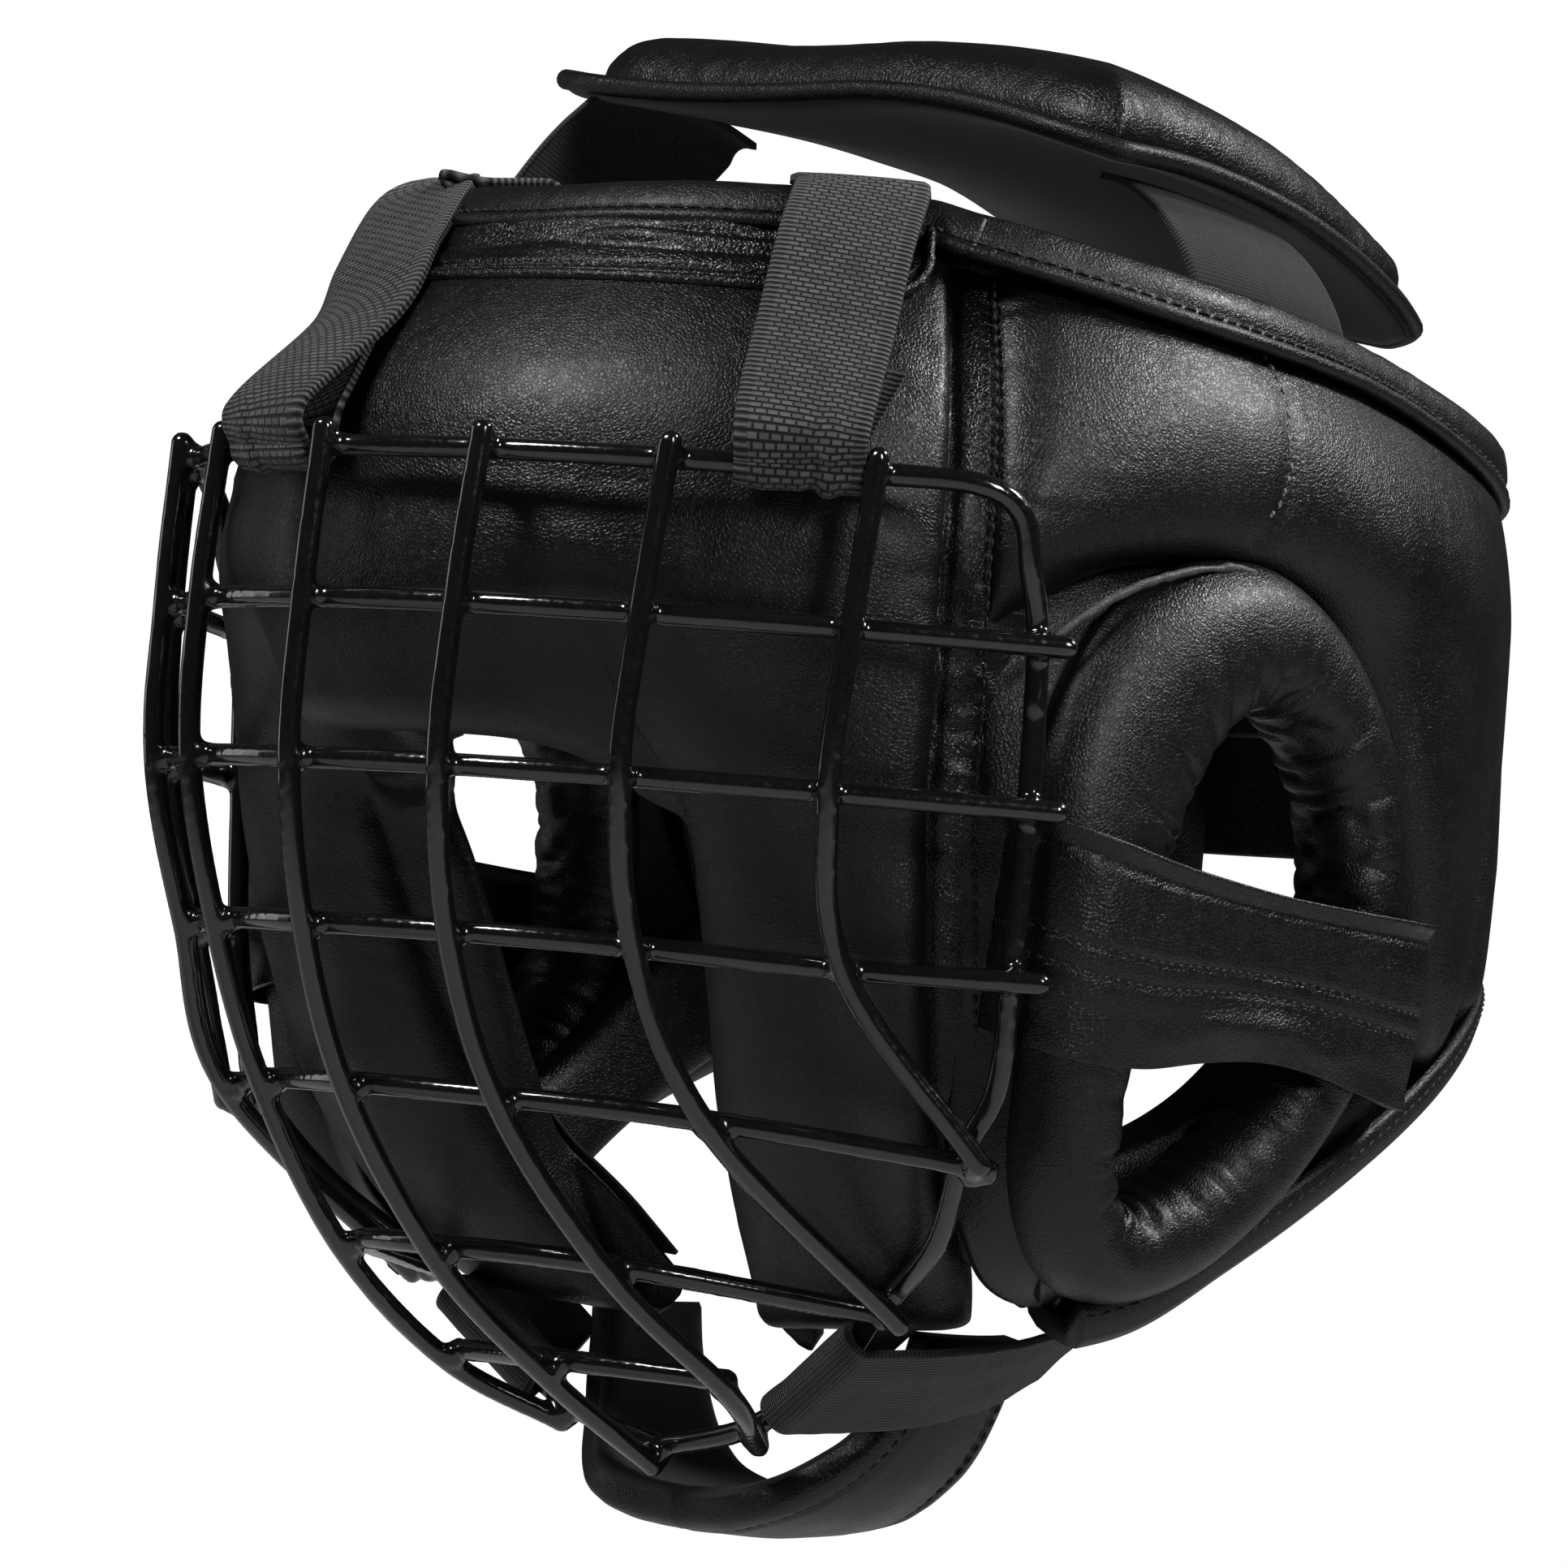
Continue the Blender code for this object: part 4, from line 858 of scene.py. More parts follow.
# centre line (y, z), half-width of the padded ring, and how far its outer flank reaches
HOOP = [(-8, 57, 10.5, 7), (12, 49, 10, 4), (25, 31, 9.5, 1.5), (28, 8, 9.5, 0), (23, -15, 9.5, 0),
        (8, -37, 10, 0), (-12, -52, 10.5, 0), (-31, -56, 10, 0), (-42.5, -43, 9.5, 0),
        (-45, -20, 10.5, 1), (-45.5, 3, 13, 3), (-42, 26, 15.5, 5), (-29, 47, 13.5, 8)]


def build_hoops():
    """Padded leather ring round each ear, gathered into creases round its hole."""
    count, size = 300, 44
    line = smooth_path(np.array(HOOP, float), count, closed=True)
    y, z, half, flank = line.T
    tangent = unit(np.stack([0 * y, np.roll(y, -1) - np.roll(y, 1),
                             np.roll(z, -1) - np.roll(z, 1)], -1))
    radial = np.cross(tangent, np.array([1.0, 0, 0]))
    lean = np.where(z < 0, 8.0 * (np.maximum(-z, 0) / 60.0) ** 1.3, 0)
    centre = np.stack([HOOP_X - lean, y, z], -1)
    turn = np.linspace(0, 2 * np.pi, size, endpoint=False)
    c, s = np.cos(turn), np.sin(turn)
    square = lambda x, p: np.sign(x) * abs(x) ** p
    run = np.cumsum(np.linalg.norm(np.roll(centre, -1, 0) - centre, axis=1))
    bend = np.linalg.norm(np.roll(tangent, -3, 0) - np.roll(tangent, 3, 0), axis=1)
    gather = np.clip(0.35 + bend / 0.22, 0, 1.3)
    width = half[:, None] + np.where(c < 0, flank[:, None], 0)
    across = square(c, 0.88)[None] * width
    out = square(s, 0.92)[None] * 11.2
    # the outer flank falls away towards the seam of the ear piece
    out = out - np.where((c < -0.2) & (s > 0), flank[:, None] * 0.30 * abs(c)[None] ** 2, 0)
    inner_side = np.clip(c + 0.35, 0, 1)[None]
    creases = field(run[:, None] / 2.5, turn[None] / 1.6, 51)
    deep = crease(run[:, None] / 4.6, turn[None] / 2.2 + 5, 52)
    fine = field(run[:, None] / 1.5, turn[None] / 1.2, 53)
    push = (0.55 * creases - 1.5 * deep) * inner_side ** 1.2 * gather[:, None]
    push = push + 0.16 * fine * np.clip(c + 0.9, 0, 1)[None]
    push = push + 0.35 * field(run[:, None] / 16, turn[None] / 1.5, 54)
    direction = unit(np.stack([0 * c, c, s], -1))
    grid = (centre[:, None] + radial[:, None] * (across + push * direction[None, :, 1])[..., None]
            + np.array([1.0, 0, 0]) * (out + push * direction[None, :, 2])[..., None])
    for obj in pair("ear_ring", grid.reshape(-1, 3), ring_faces(count, size, True), HIDE,
                    "ear_hoop"):
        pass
    # skirt that joins the back of the ring to the pads round it
    reach = along(np.clip(z, -66, 60), [-66, -30, 0, 30, 60], [3.0, 6.0, 10.0, 14.0, 16.0])
    step = np.linspace(0, 1, 14)[None, :, None]
    start = centre - radial * (half + flank * 0.75 - 2.0)[:, None] + np.array([-3.5, 0, 0])
    finish = start - radial * reach[:, None] + np.array([-12.0, 0, 0])
    skirt = start[:, None] * (1 - step) + finish[:, None] * step
    ruffle = 0.5 * field(run[:, None] / 6, step[..., 0] * 2, 57)
    skirt = skirt + np.array([1.0, 0, 0]) * ruffle[..., None]
    closed = np.concatenate([skirt, skirt[:1]])
    points, faces, _ = two_sided(closed, closed + np.array([-1.6, 0, 0]))
    pair("ear_skirt", points, faces, HIDE)
    # raw edge of the seam that joins the ear piece to the side panel
    arc = smooth_path([(103.5, -63.5, 50), (107, -56, 58), (109.5, -44, 65.5), (110.8, -30, 70.3),
                       (110.8, -14, 72.4), (109.8, 2, 69.5), (107.2, 16, 63), (103, 27, 53)], 200)
    arc = arc + np.array([0.0, 0.0, 1.0]) * (0.35 * field(np.arange(200) / 5.0, 0.5, 55))[:, None]
    base = arc + np.array([-3.2, 0, 0])
    radius = 0.85 + 0.3 * field(np.arange(200) / 4.0, 0.2, 56)
    for side, tag in SIDES:
        points, faces = tube_mesh(mirror_of(base, side), radius, 8)
        piece("ear_seam" + tag, points, faces, "headguard", "black_leather", [EDGE_HIDE])


CUFF = [(96, -62), (103, -62.6), (111, -60.6), (116.2, -54), (117.8, -40), (117.6, -24),
        (117.0, -6), (117.4, 12), (117.8, 28), (114.5, 39.5), (107, 42.5), (99, 41)]
CUFF_TOP = [23.5, 23, 21.5, 19, 16, 13.8, 12.0, 10.8, 10.0, 9.6, 9.6, 10]
CUFF_LOW = [-17, -18.5, -20.5, -22.2, -22.4, -20.4, -19.4, -21.4, -25, -26.2, -25, -23]


def build_cuffs():
    """Leather band round both limbs of the hoop, with two rows of stitches along its middle."""
    line = smooth_path([(*p, a, b) for p, a, b in zip(CUFF, CUFF_TOP, CUFF_LOW)], 230)
    x, y, top, low = line.T
    tangent = unit(np.stack([np.gradient(x), np.gradient(y)], -1))
    outward = np.stack([tangent[:, 1], -tangent[:, 0], 0 * x], -1)
    run = np.r_[0, np.cumsum(np.hypot(np.diff(x), np.diff(y)))]
    v = eased(64, 0.55)[:, None]
    z = low[None] + (top - low)[None] * v
    slope = -0.14 * np.maximum(0.0, -z)
    hollow = bell(y, -8, 17)[None]
    puff = -1.9 * hollow * bell(v, 0.62, 0.36) + 1.5 * bell(v, 0.16, 0.13) * bell(y, -14, 26)[None]
    hem = 0.9 * bell(v, 0.985, 0.03) - 0.55 * bell(v, 0.90, 0.03)
    gathers = 0.75 * np.exp(-v / 0.17) * field(run[None] / 3.4, v * 2.2, 61) * bell(y, 12, 30)[None]
    gathers = gathers + 0.5 * bell(v, 0.22, 0.16) * field(run[None] / 11, v * 9, 62)
    dimple = 0.5 * field(run[None] / 15, v * 2.6, 63) \
        + 0.22 * field(run[None] / 2.6, v * 6, 64) * bell(v, 0.7, 0.3)
    rows = -0.5 * (bell(v, 0.515, 0.014) + bell(v, 0.395, 0.014))
    push = puff + hem + gathers + dimple + rows
    centre = np.stack([x[None] + slope, y[None] + 0 * z, z], -1)
    outer = centre + outward[None] * (0.9 + push)[..., None]
    inner = centre + outward[None] * (push - 0.8)[..., None]
    points, faces, _ = two_sided(outer, inner)
    for side, tag in SIDES:
        piece("cuff_leather" + tag, mirror_of(points, side), faces, "headguard", "black_leather",
              [HIDE], ("ear_cuff" + tag,))
        for k, at in enumerate((0.515, 0.395)):
            row = int(np.argmin(abs(v[:, 0] - at)))
            stitches("cuff_stitch_%d%s" % (k + 1, tag), mirror_of(outer[row, 4:-4], side),
                     mirror_of(outward[4:-4], side), pitch=2.7, length=1.9, radius=0.34)


def build_jaw_sides():
    """Pads under the ear rings and the gussets that join ring, strip and jaw."""
    t_line = np.linspace(76, 112, 90)
    low = along(t_line, [76, 84, 92, 104, 112], [-74, -71, -60, -43, -32])
    high = along(t_line, [76, 84, 95, 104, 112], [-46, -42, -30, -12, 4])
    v = eased(40)[:, None]
    z = low[None] + (high - low)[None] * v
    t = t_line[None] + 0 * z
    base, normal = shell(t, z), shell_normal(t, z)
    d = end_run(base)
    drop = 13.5 + rolled(d, 9, 4)
    lift = 0.35 * field(base[..., 1] / 14, z / 11, 71)
    for side, tag in SIDES:
        pad("jaw_pad" + tag, mirror_of(base, side), mirror_of(normal, side), drop, lift, 27.0,
            "black_leather", [HIDE], ("jaw_side" + tag,), under=3)
    z = np.linspace(60, -68, 170)
    edge, ahead, normal = seam_frame(z)
    hoop_y = along(-z, [-60, -47, -26, -3, 20, 43, 56, 68],
                   [-36, -50, -57, -57, -53, -49, -46, -43])
    lean = np.where(z < 0, 8.0 * (np.maximum(-z, 0) / 60.0) ** 1.3, 0)
    front = edge + ahead * 5.0 - normal * (4.6 + 6.0 * np.clip((-50 - z) / 20, 0, 1))[:, None]
    back = np.stack([HOOP_X - lean - 3.0, hoop_y + 6.0, z], -1)
    front[:, 2] -= 4.0 * np.clip((-50 - z) / 26, 0, 1)
    v = np.linspace(0, 1, 26)[None, :, None]
    sag = -3.0 * np.sin(np.pi * v)
    grid = front[:, None] * (1 - v) + back[:, None] * v + normal[:, None] * sag
    wrinkle = 0.7 * field(z[:, None] / 4.5 + 3 * v[..., 0], 2.0 * v[..., 0], 72)
    grid = grid + normal[:, None] * wrinkle[..., None]
    points, faces, _ = two_sided(grid, grid - normal[:, None] * 1.6)
    pair("ear_gusset", points, faces, HIDE)


# ---------------------------------------------------------------- crown

CROWN_Y0, CROWN_Y1 = -26.0, 105.0


def crown_z(x, y):
    """Height of the crown, which stands higher on the wearer's right."""
    middle = along(y, [-40, -28, 0, 30, 60, 90, 112, 130],
                   [177, 178, 178, 174, 166, 155, 145, 135])
    high_side = along(y, [-40, 0, 60, 90, 112, 130], [177, 178, 177, 172, 162, 150])
    mix = np.clip((20.0 - x) / 80.0, 0, 1)
    middle = middle * (1 - mix) + high_side * mix
    return middle - np.where(x > 0, 13.0, -6.0) * (abs(x) / 75.0) ** 2.0


def crown_half(y):
    return along(y, [-30, -26, 0, 60, 95, 110], [74, 75.5, 76, 70, 58, 48])


def crown_grid(rows, cols, inset):
    """Grid over the crown, its corners pulled in, with its border moved in by inset."""
    v = CROWN_Y0 + inset + (CROWN_Y1 - CROWN_Y0 - 2 * inset) * eased(rows, 0.5)
    u = 2 * eased(cols, 0.5) - 1
    corner = np.clip((abs(u) - 0.80) / 0.20, 0, 1) ** 2
    y = v[:, None] + 7.0 * corner[None] * np.clip((CROWN_Y0 + 30 - v[:, None]) / 30, 0, 1) \
        - 9.0 * corner[None] * np.clip((v[:, None] - CROWN_Y1 + 30) / 30, 0, 1)
    x = u[None] * (crown_half(y) - inset)
    z = crown_z(x, y) - 4.0
    return np.stack([x, y, z], -1)


def build_crown():
    """Stuffed pad over the crown on a flanged base, with knit elastics down to the rim."""
    base = crown_grid(120, 110, 5.0)
    normal = grid_normals(base, np.array([0, 0, 1.0]))
    d = edge_run(base)
    lift = 7.2 * (1 - np.exp(-d / 13))
    lift += 0.45 * np.exp(-d / 7) * field(base[..., 0] / 2.4, base[..., 1] / 2.6, 81)
    lift += 0.5 * field(base[..., 0] / 26, base[..., 1] / 22, 82)
    lift -= 0.35 * crease(base[..., 0] / 30, base[..., 1] / 6, 83) * bell(base[..., 1], -14, 14)
    drop = 1.6 + rolled(d, 11, 6.4)
    back = np.full(d.shape, 8.6)
    outer = base - normal * np.minimum(drop - lift, back - 0.8)[..., None]
    points, faces, _ = two_sided(outer, base - normal * back[..., None])
    obj = piece("crown_cushion", points, faces, "headguard", "black_leather", [HIDE],
                ("crown_cover",))
    flange = crown_grid(110, 100, -1.0)
    normal = grid_normals(flange, np.array([0, 0, 1.0]))
    edge = edge_run(flange)
    ripple = 0.25 * field(flange[..., 0] / 7, flange[..., 1] / 7, 84) * np.exp(-edge / 5)
    top = flange - normal * (8.2 - ripple)[..., None]
    below = flange - normal * (12.6 - rolled(edge, 7, 2.4))[..., None]
    points, faces, index = two_sided(top, below)
    obj = piece("crown_base", points, faces, "headguard", "suede_lining", [HIDE, LINING],
                ("crown_foam",), index=index)
    rim = np.vstack([flange[0, :-1], flange[:-1, -1], flange[-1, :0:-1], flange[:0:-1, 0]])
    down = np.vstack([normal[0, :-1], normal[:-1, -1], normal[-1, :0:-1], normal[:0:-1, 0]])
    path = smooth_path((rim - down * 9.4)[::3], 420, closed=True)
    points, faces = tube_mesh(path, 2.1, 14, closed=True)
    piece("crown_piping", points, faces, "headguard", "black_leather", [BINDING])
    for side, tag in SIDES:
        if side > 0:
            line = [(60, 12, 147.5), (67, 12, 145.8), (75, 11, 141.6), (82, 10, 136.0),
                    (88.0, 9, 128.8), (91.5, 8.6, 121.5)]
        else:
            line = [(-58, 0, 166.0), (-65, -2, 164.8), (-73, -5, 157.0), (-80.5, -10, 145.0),
                    (-87.2, -14, 131.0), (-91.0, -16, 122.5)]
        line = smooth_path(line, 60)
        run = arc_run(line)
        w = np.linspace(-KNIT_HALF, KNIT_HALF, 61)
        tangent = unit(np.gradient(line, axis=0))
        lie = np.array([0, 1.0, -0.1])
        across = unit(lie - (tangent @ lie)[:, None] * tangent)
        up = np.cross(tangent, across)
        up = up * np.sign(up[:, 2:3])
        bow = 0.8 * (w / KNIT_HALF) ** 2
        grid = line[:, None] + across[:, None] * w[None, :, None] - up[:, None] * bow[None, :, None]
        points, faces, _ = two_sided(grid + up[:, None] * 0.7, grid - up[:, None] * 0.7)
        piece("elastic" + tag, points, faces, "headguard", "knit_elastic", [KNIT],
              ("crown_elastic" + tag,), uv=strip_uv(w[None], run[:, None]))
    line = smooth_path([(0, 104, 132), (0, 112, 122), (0, 118, 112), (0, 119.5, 98), (0, 121, 78),
                        (0, 121, 50)], 120)
    w = np.linspace(-1, 1, 31)
    half = along(np.linspace(0, 1, 120), [0, 0.12, 0.3, 0.85, 1.0], [24, 19, 15.5, 15, 11])
    tangent = unit(np.gradient(line, axis=0))
    up = np.cross(np.array([1.0, 0, 0]), tangent)
    up = up * np.sign((up[:, 1:2] + up[:, 2:3]))
    crown = 3.4 * np.sqrt(np.maximum(1 - w ** 4, 0))
    grid = line[:, None] + np.array([1.0, 0, 0]) * (w[None] * half[:, None])[..., None]
    ripple = 0.3 * field(np.arange(120)[:, None] / 9.0, w[None] * 2, 86)
    points, faces, _ = two_sided(grid + up[:, None] * (crown[None] + ripple)[..., None],
                                 grid - up[:, None] * crown[None, :, None])
    obj = piece("tongue_pad", points, faces, "headguard", "black_leather", [HIDE], ("rear_tongue",))


# ---------------------------------------------------------------- rear closure

def rear_at(t, z, lift):
    """Points at a height above the back of the shell, where t may pass 180, and their normals."""
    t, z, lift = np.broadcast_arrays(np.asarray(t, float), z, lift)
    p = shell(np.where(t > 180, t - 360, t), z)
    n = unit(np.stack([p[..., 0] / HALF_WIDTH ** 2, p[..., 1] / HALF_REAR ** 2, 0 * z], -1))
    return p + n * lift[..., None], n


def tape(name, t0, t1, z0, z1, low, high, body, slot, mat, node, rough=0.3):
    """A patch of tape or cloth on the back, between two heights above the shell."""
    t = np.linspace(t0, t1, 60)[None]
    z = np.linspace(z0, z1, 50)[:, None]
    _, n = rear_at(t, z, 0.0)
    ripple = rough * field(t * 1.7, z / 2.0, 91)
    outer, _ = rear_at(t, z, high + ripple)
    inner, _ = rear_at(t, z, low)
    points, faces, _ = two_sided(outer, inner)
    return piece(name, points, faces, body, slot, [mat], (node,),
                 uv=strip_uv((t - t0) * 2.4, z - z0))


def build_rear():
    """Wide leather flap that closes the back with hook-and-loop tape, and its blank label."""
    low, high = 26.0, 78.0
    t = (152 + 50 * eased(120, 0.5))[None]
    z = (low + (high - low) * eased(90, 0.5))[:, None]
    q = np.clip((abs(t - 177) - 19) / 6, 0, 1)
    middle = (low + high) / 2
    z = middle + (z - middle) * (1 - 0.16 * q ** 2)
    base, n = rear_at(t, z, 0.0)
    edge = edge_run(base)
    outside = 8.6 - rolled(edge, 2.2, 1.0) + 0.5 * bell(edge, 1.8, 1.2) - 0.5 * bell(edge, 4.4, 0.8)
    outside = outside + 0.28 * field(t / 4, z / 9, 92) + 0.12 * field(t / 1.4, z / 3, 93)
    outer = base + n * outside[..., None]
    inner = base + n * (6.4 + rolled(edge, 2.2, 0.5))[..., None]
    points, faces, _ = two_sided(outer, inner)
    piece("rear_flap_leather", points, faces, "rear_closure", "black_leather", [HIDE],
          ("rear_flap",))
    row = int(np.argmin(abs(grid_run(base, 0)[:, 60] - 4.4)))
    col = int(np.argmin(abs(grid_run(base, 1)[45] - 4.4)))
    stitches("rear_flap_stitch", inset_ring(outer, row, col), inset_ring(n, row, col),
             "rear_closure", "black_leather", THREAD, pitch=3.0)
    tape("hook_tape", 153.5, 165.5, low + 5, high - 5, 4.9, 6.1, "rear_closure", "hook_and_loop",
         PILE, "rear_hook_tape")
    tape("loop_tape", 153.0, 166.0, low + 4, high - 4, 3.3, 4.6, "headguard", "hook_and_loop",
         PILE, "rear_loop_tape")
    tape("label_cloth", 172.0, 188.0, 42.0, 62.0, 8.9, 9.7, "rear_closure", "blank_label",
         LABEL, "rear_label", rough=0.06)


# ---------------------------------------------------------------- cage

# crossing points on the wearer's left: rows from the top, then the lower end of each wire
CAGE = {
    "C": [(0, -148.5, 81), (0, -150.5, 52.5), (0, -150.5, 22.5), (0, -143.5, -8),
          (0, -129.5, -37.5), (0, -103, -67.3), (0, -72, -88), (0, -42, -104)],
    "D": [(34.5, -142, 81), (34, -145, 52.5), (33, -145, 22.5), (31, -137, -8),
          (31.3, -121.5, -37.8), (35, -94, -67.5), (36.5, -63, -88), (25.5, -42, -98)],
    "E": [(65, -125, 81), (63.5, -127.5, 52.5), (62, -128, 22.5), (60, -119, -8.3),
          (64, -101, -39), (62, -47.5, -72.5)],
    "F": [(92, -99.5, 81), (90.5, -101.5, 52.5), (88, -101.5, 22.5), (86.5, -92.5, -9),
          (101, -68, -42.5)],
    "G": [(113, -76, 81), (114, -72.5, 52.5), (113, -70.5, 22.5), (111, -69.5, -9),
          (101, -68, -42.5)],
}


def cage_normal(line, index):
    p = np.asarray(line, float)
    tangent = unit(p[min(index + 1, len(p) - 1)] - p[max(index - 1, 0)])
    radial = unit([p[index][0] / 121.0 ** 2, p[index][1] / 150.0 ** 2, 0])
    return unit(radial - np.dot(radial, tangent) * tangent)


def layer_line(key, offset):
    """Crossing points of one wire, moved out by offset."""
    line = np.array(CAGE[key], float)
    return np.array([line[i] + cage_normal(line, i) * offset for i in range(len(line))])


def cage_wires():
    """Centre lines of the wires, closed ones first, and the points where two wires are welded."""
    top = {k: layer_line(k, -LAYER)[0] for k in CAGE}
    g = layer_line("G", -LAYER * 3)
    e_end, d_end, c_end = (layer_line(k, -LAYER)[-1] for k in "EDC")
    half = [top["C"], top["D"], top["E"], top["F"], (104.3, -85.6, 80.5), (108.8, -78.0, 76.0),
            (109.2, -74.8, 66.0), g[1], g[2], g[3], (102.2, -65.2, -28.0),
            g[4] + np.array([0.6, -0.6, 0.4]), (82.0, -56.5, -57.5), e_end, (46.0, -43.5, -84.0),
            d_end, c_end]
    near = smooth_path(half, 500)
    loop = np.vstack([near, mirror_of(near[1:-1], -1)[::-1]])
    wires, welds = [], []
    for key in "CDEF":
        line = layer_line(key, LAYER)
        line[0] += np.array([0, 0, 2.4])
        if key == "E":
            line[-1] += cage_normal(CAGE[key], len(line) - 1) * 2.4
        path = smooth_path(line, 420)
        for side in ((1,) if key == "C" else (1, -1)):
            wires.append(mirror_of(path, side))
        for k in range(len(line)):
            p = np.array(CAGE[key][k], float)
            for side in ((1,) if key == "C" else (1, -1)):
                welds.append((mirror_of(p, side), 2.9))
    lines = {k: layer_line(k, -LAYER) for k in CAGE}
    for row in range(1, 7):
        right = [lines[k][row] for k in "CDEFG" if row < len(lines[k])]
        if row == 5:
            right = [lines[k][row] for k in "CDE"]
        if row == 6:
            right = [lines["C"][6], lines["D"][6]]
        right = np.array(right)
        run_on = unit(right[-1] - right[-2])
        if row <= 3:
            right = np.vstack([right, right[-1] + run_on * 3.4])
            for side in (1, -1):
                welds.append((mirror_of(lines["G"][row] * 0.5 + g[row] * 0.5, side), 2.9))
        else:
            right[-1] = right[-1] + run_on * (2.0 if row == 6 else -2.6)
        full = np.vstack([mirror_of(right[1:], -1)[::-1], right])
        wires.append(smooth_path(full, 500))
    return loop, wires, welds


def ball(centre, radius, squash=(1, 1, 1)):
    made = bmesh.new()
    bmesh.ops.create_icosphere(made, subdivisions=2, radius=1.0)
    points = np.array([v.co[:] for v in made.verts]) * radius * np.array(squash) + centre
    faces = [[v.index for v in f.verts] for f in made.faces]
    made.free()
    return points, faces


def build_cage():
    """Welded wire cage under one thick dip coating, with beads at the welds and a run of drips."""
    loop, wires, welds = cage_wires()
    points, faces, first = [], [], 0

    def take(part):
        nonlocal first
        points.append(np.asarray(part[0]))
        faces.extend([[first + i for i in f] for f in part[1]])
        first += len(part[0])

    n = len(loop)
    take(tube_mesh(loop, WIRE_R + 0.10 * field(np.arange(n) / 23.0, 0.3, 95), 20, closed=True))
    for k, path in enumerate(wires):
        n = len(path)
        radius = WIRE_R + 0.10 * field(np.arange(n) / 21.0, 0.3, 96 + k)
        take(tube_mesh(path, radius, 20))
        for end in (0, -1):
            take(ball(path[end], WIRE_R * 1.06))
    for centre, radius in welds:
        take(ball(centre, radius))
    for side in (1, -1):
        take(ball(mirror_of((107.9, -69.3, 43.0), side), 2.45, (1.0, 1.0, 2.2)))
    mesh = bpy.data.meshes.new("cage_coating")
    mesh.from_pydata((np.vstack(points) * MM).tolist(), [], faces)
    obj = bpy.data.objects.new("cage_coating", mesh)
    bpy.context.scene.collection.objects.link(obj)
    remesh = obj.modifiers.new("melt", "REMESH")
    remesh.mode = "VOXEL"
    remesh.voxel_size = 0.0007
    remesh.use_smooth_shade = True
    smooth = obj.modifiers.new("flow", "SMOOTH")
    smooth.factor = 0.5
    smooth.iterations = 5
    bpy.context.view_layer.update()
    graph = bpy.context.evaluated_depsgraph_get()
    final = bpy.data.meshes.new_from_object(obj.evaluated_get(graph))
    obj.modifiers.clear()
    obj.data = final
    final.materials.clear()
    final.materials.append(COAT)
    final.polygons.foreach_set("use_smooth", np.ones(len(final.polygons), bool))
    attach(obj, "cage")
    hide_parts("cage_frame", *["cage_upright_%d" % k for k in range(1, 8)],
                *["cage_crossbar_%d" % k for k in range(1, 7)])


# ---------------------------------------------------------------- straps and chin

def strap_line(strap_x, t_top, falls, stand):
    """Centre line of a strap: over the rim, down the brow, round the top wire and back up."""
    wire = smooth_path([layer_line(k, -LAYER)[0] for k in "CDEFG"], 200)
    nearest = int(np.argmin(abs(wire[:, 0] - strap_x)))
    at, nearby = wire[nearest], wire[nearest + 1]
    across = unit(nearby - at)
    out = unit(np.cross(across, np.array([0, 0, 1.0])))
    out = -out if out[1] > 0 else out
    up = np.array([0, 0, 1.0])
    r = WIRE_R + 1.3
    top = float(rim_z(t_top))
    rim = shell(t_top, top - 1)
    inward = unit([rim[0], rim[1], 0])
    path = [rim - inward * 17 + up * 2.0, rim - inward * 13 + up * 8.8,
            rim - inward * 2 + up * 9.0, rim + shell_normal(t_top, top - 3) * 9.0 + up * 0.6]
    for t, z in falls:
        path.append(shell(t, z) + shell_normal(t, z) * stand)
    path.append(at + out * (r + 1.0) + up * 8)
    for turn in np.radians([0, 40, 80, 120, 160, 190]):
        path.append(at + out * r * np.cos(turn) - up * r * np.sin(turn))
    path.append(at - out * (r + 0.4) + up * 7)
    t_back = falls[-1][0] + 1.8
    path.append(shell(t_back, 100.0) + shell_normal(t_back, 100.0) * 6.8)
    return smooth_path(path, 260), across


def build_straps():
    """Webbing loops from the rim to the cage's top wire, gathered where they turn round it."""
    for tag, side, args, pinch in (
            ("left", 1, (81.0, 40.0, ((39.5, 118.0), (39.3, 102.0)), 11.0), 1.0),
            ("right", -1, (18.2, 28.0, ((18.0, 117.0), (11.0, 103.0)), 7.4), 0.5)):
        line, across = strap_line(*args)
        run = arc_run(line)
        tangent = unit(np.gradient(line, axis=0))
        wide = unit(across - (tangent @ across)[:, None] * tangent)
        face = np.cross(tangent, wide)
        middle = int(np.argmin(line[:, 1]))
        face = face * (1 if face[middle][1] < 0 else -1)
        w = np.linspace(-1, 1, 61)[None]
        low = int(np.argmin(line[:, 2]))
        away = (run - run[low])[:, None]
        gather = np.exp(-(away / 15.0) ** 2) * pinch
        half = WEB_HALF * (1 - 0.07 * gather)
        bow = 0.5 * (1 - w ** 2) * (1 - gather)
        fold = gather * (1.1 * bell(w, 0.46, 0.17) - 0.8 * bell(w, 0.22, 0.12)
                         + 0.4 * bell(w, -0.55, 0.22))
        buckle = 0.22 * field(run[:, None] / 16, w * 1.2, 101)
        lip = -0.35 * np.clip((abs(w) - 0.93) / 0.07, 0, 1)
        height = bow + fold + buckle + lip
        reach = w * half + 0.25 * field(run[:, None] / 17, 0.4, 102)
        centre = line[:, None] + wide[:, None] * reach[..., None]
        points, faces, _ = two_sided(centre + face[:, None] * (height + 0.75)[..., None],
                                     centre + face[:, None] * (height - 0.75)[..., None])
        obj = piece("strap_" + tag, mirror_of(points, side), faces, None, "nylon_webbing", [WEB],
                    ("cage_strap_" + tag,), uv=strip_uv(w * WEB_HALF, run[:, None]))
        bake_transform(obj)


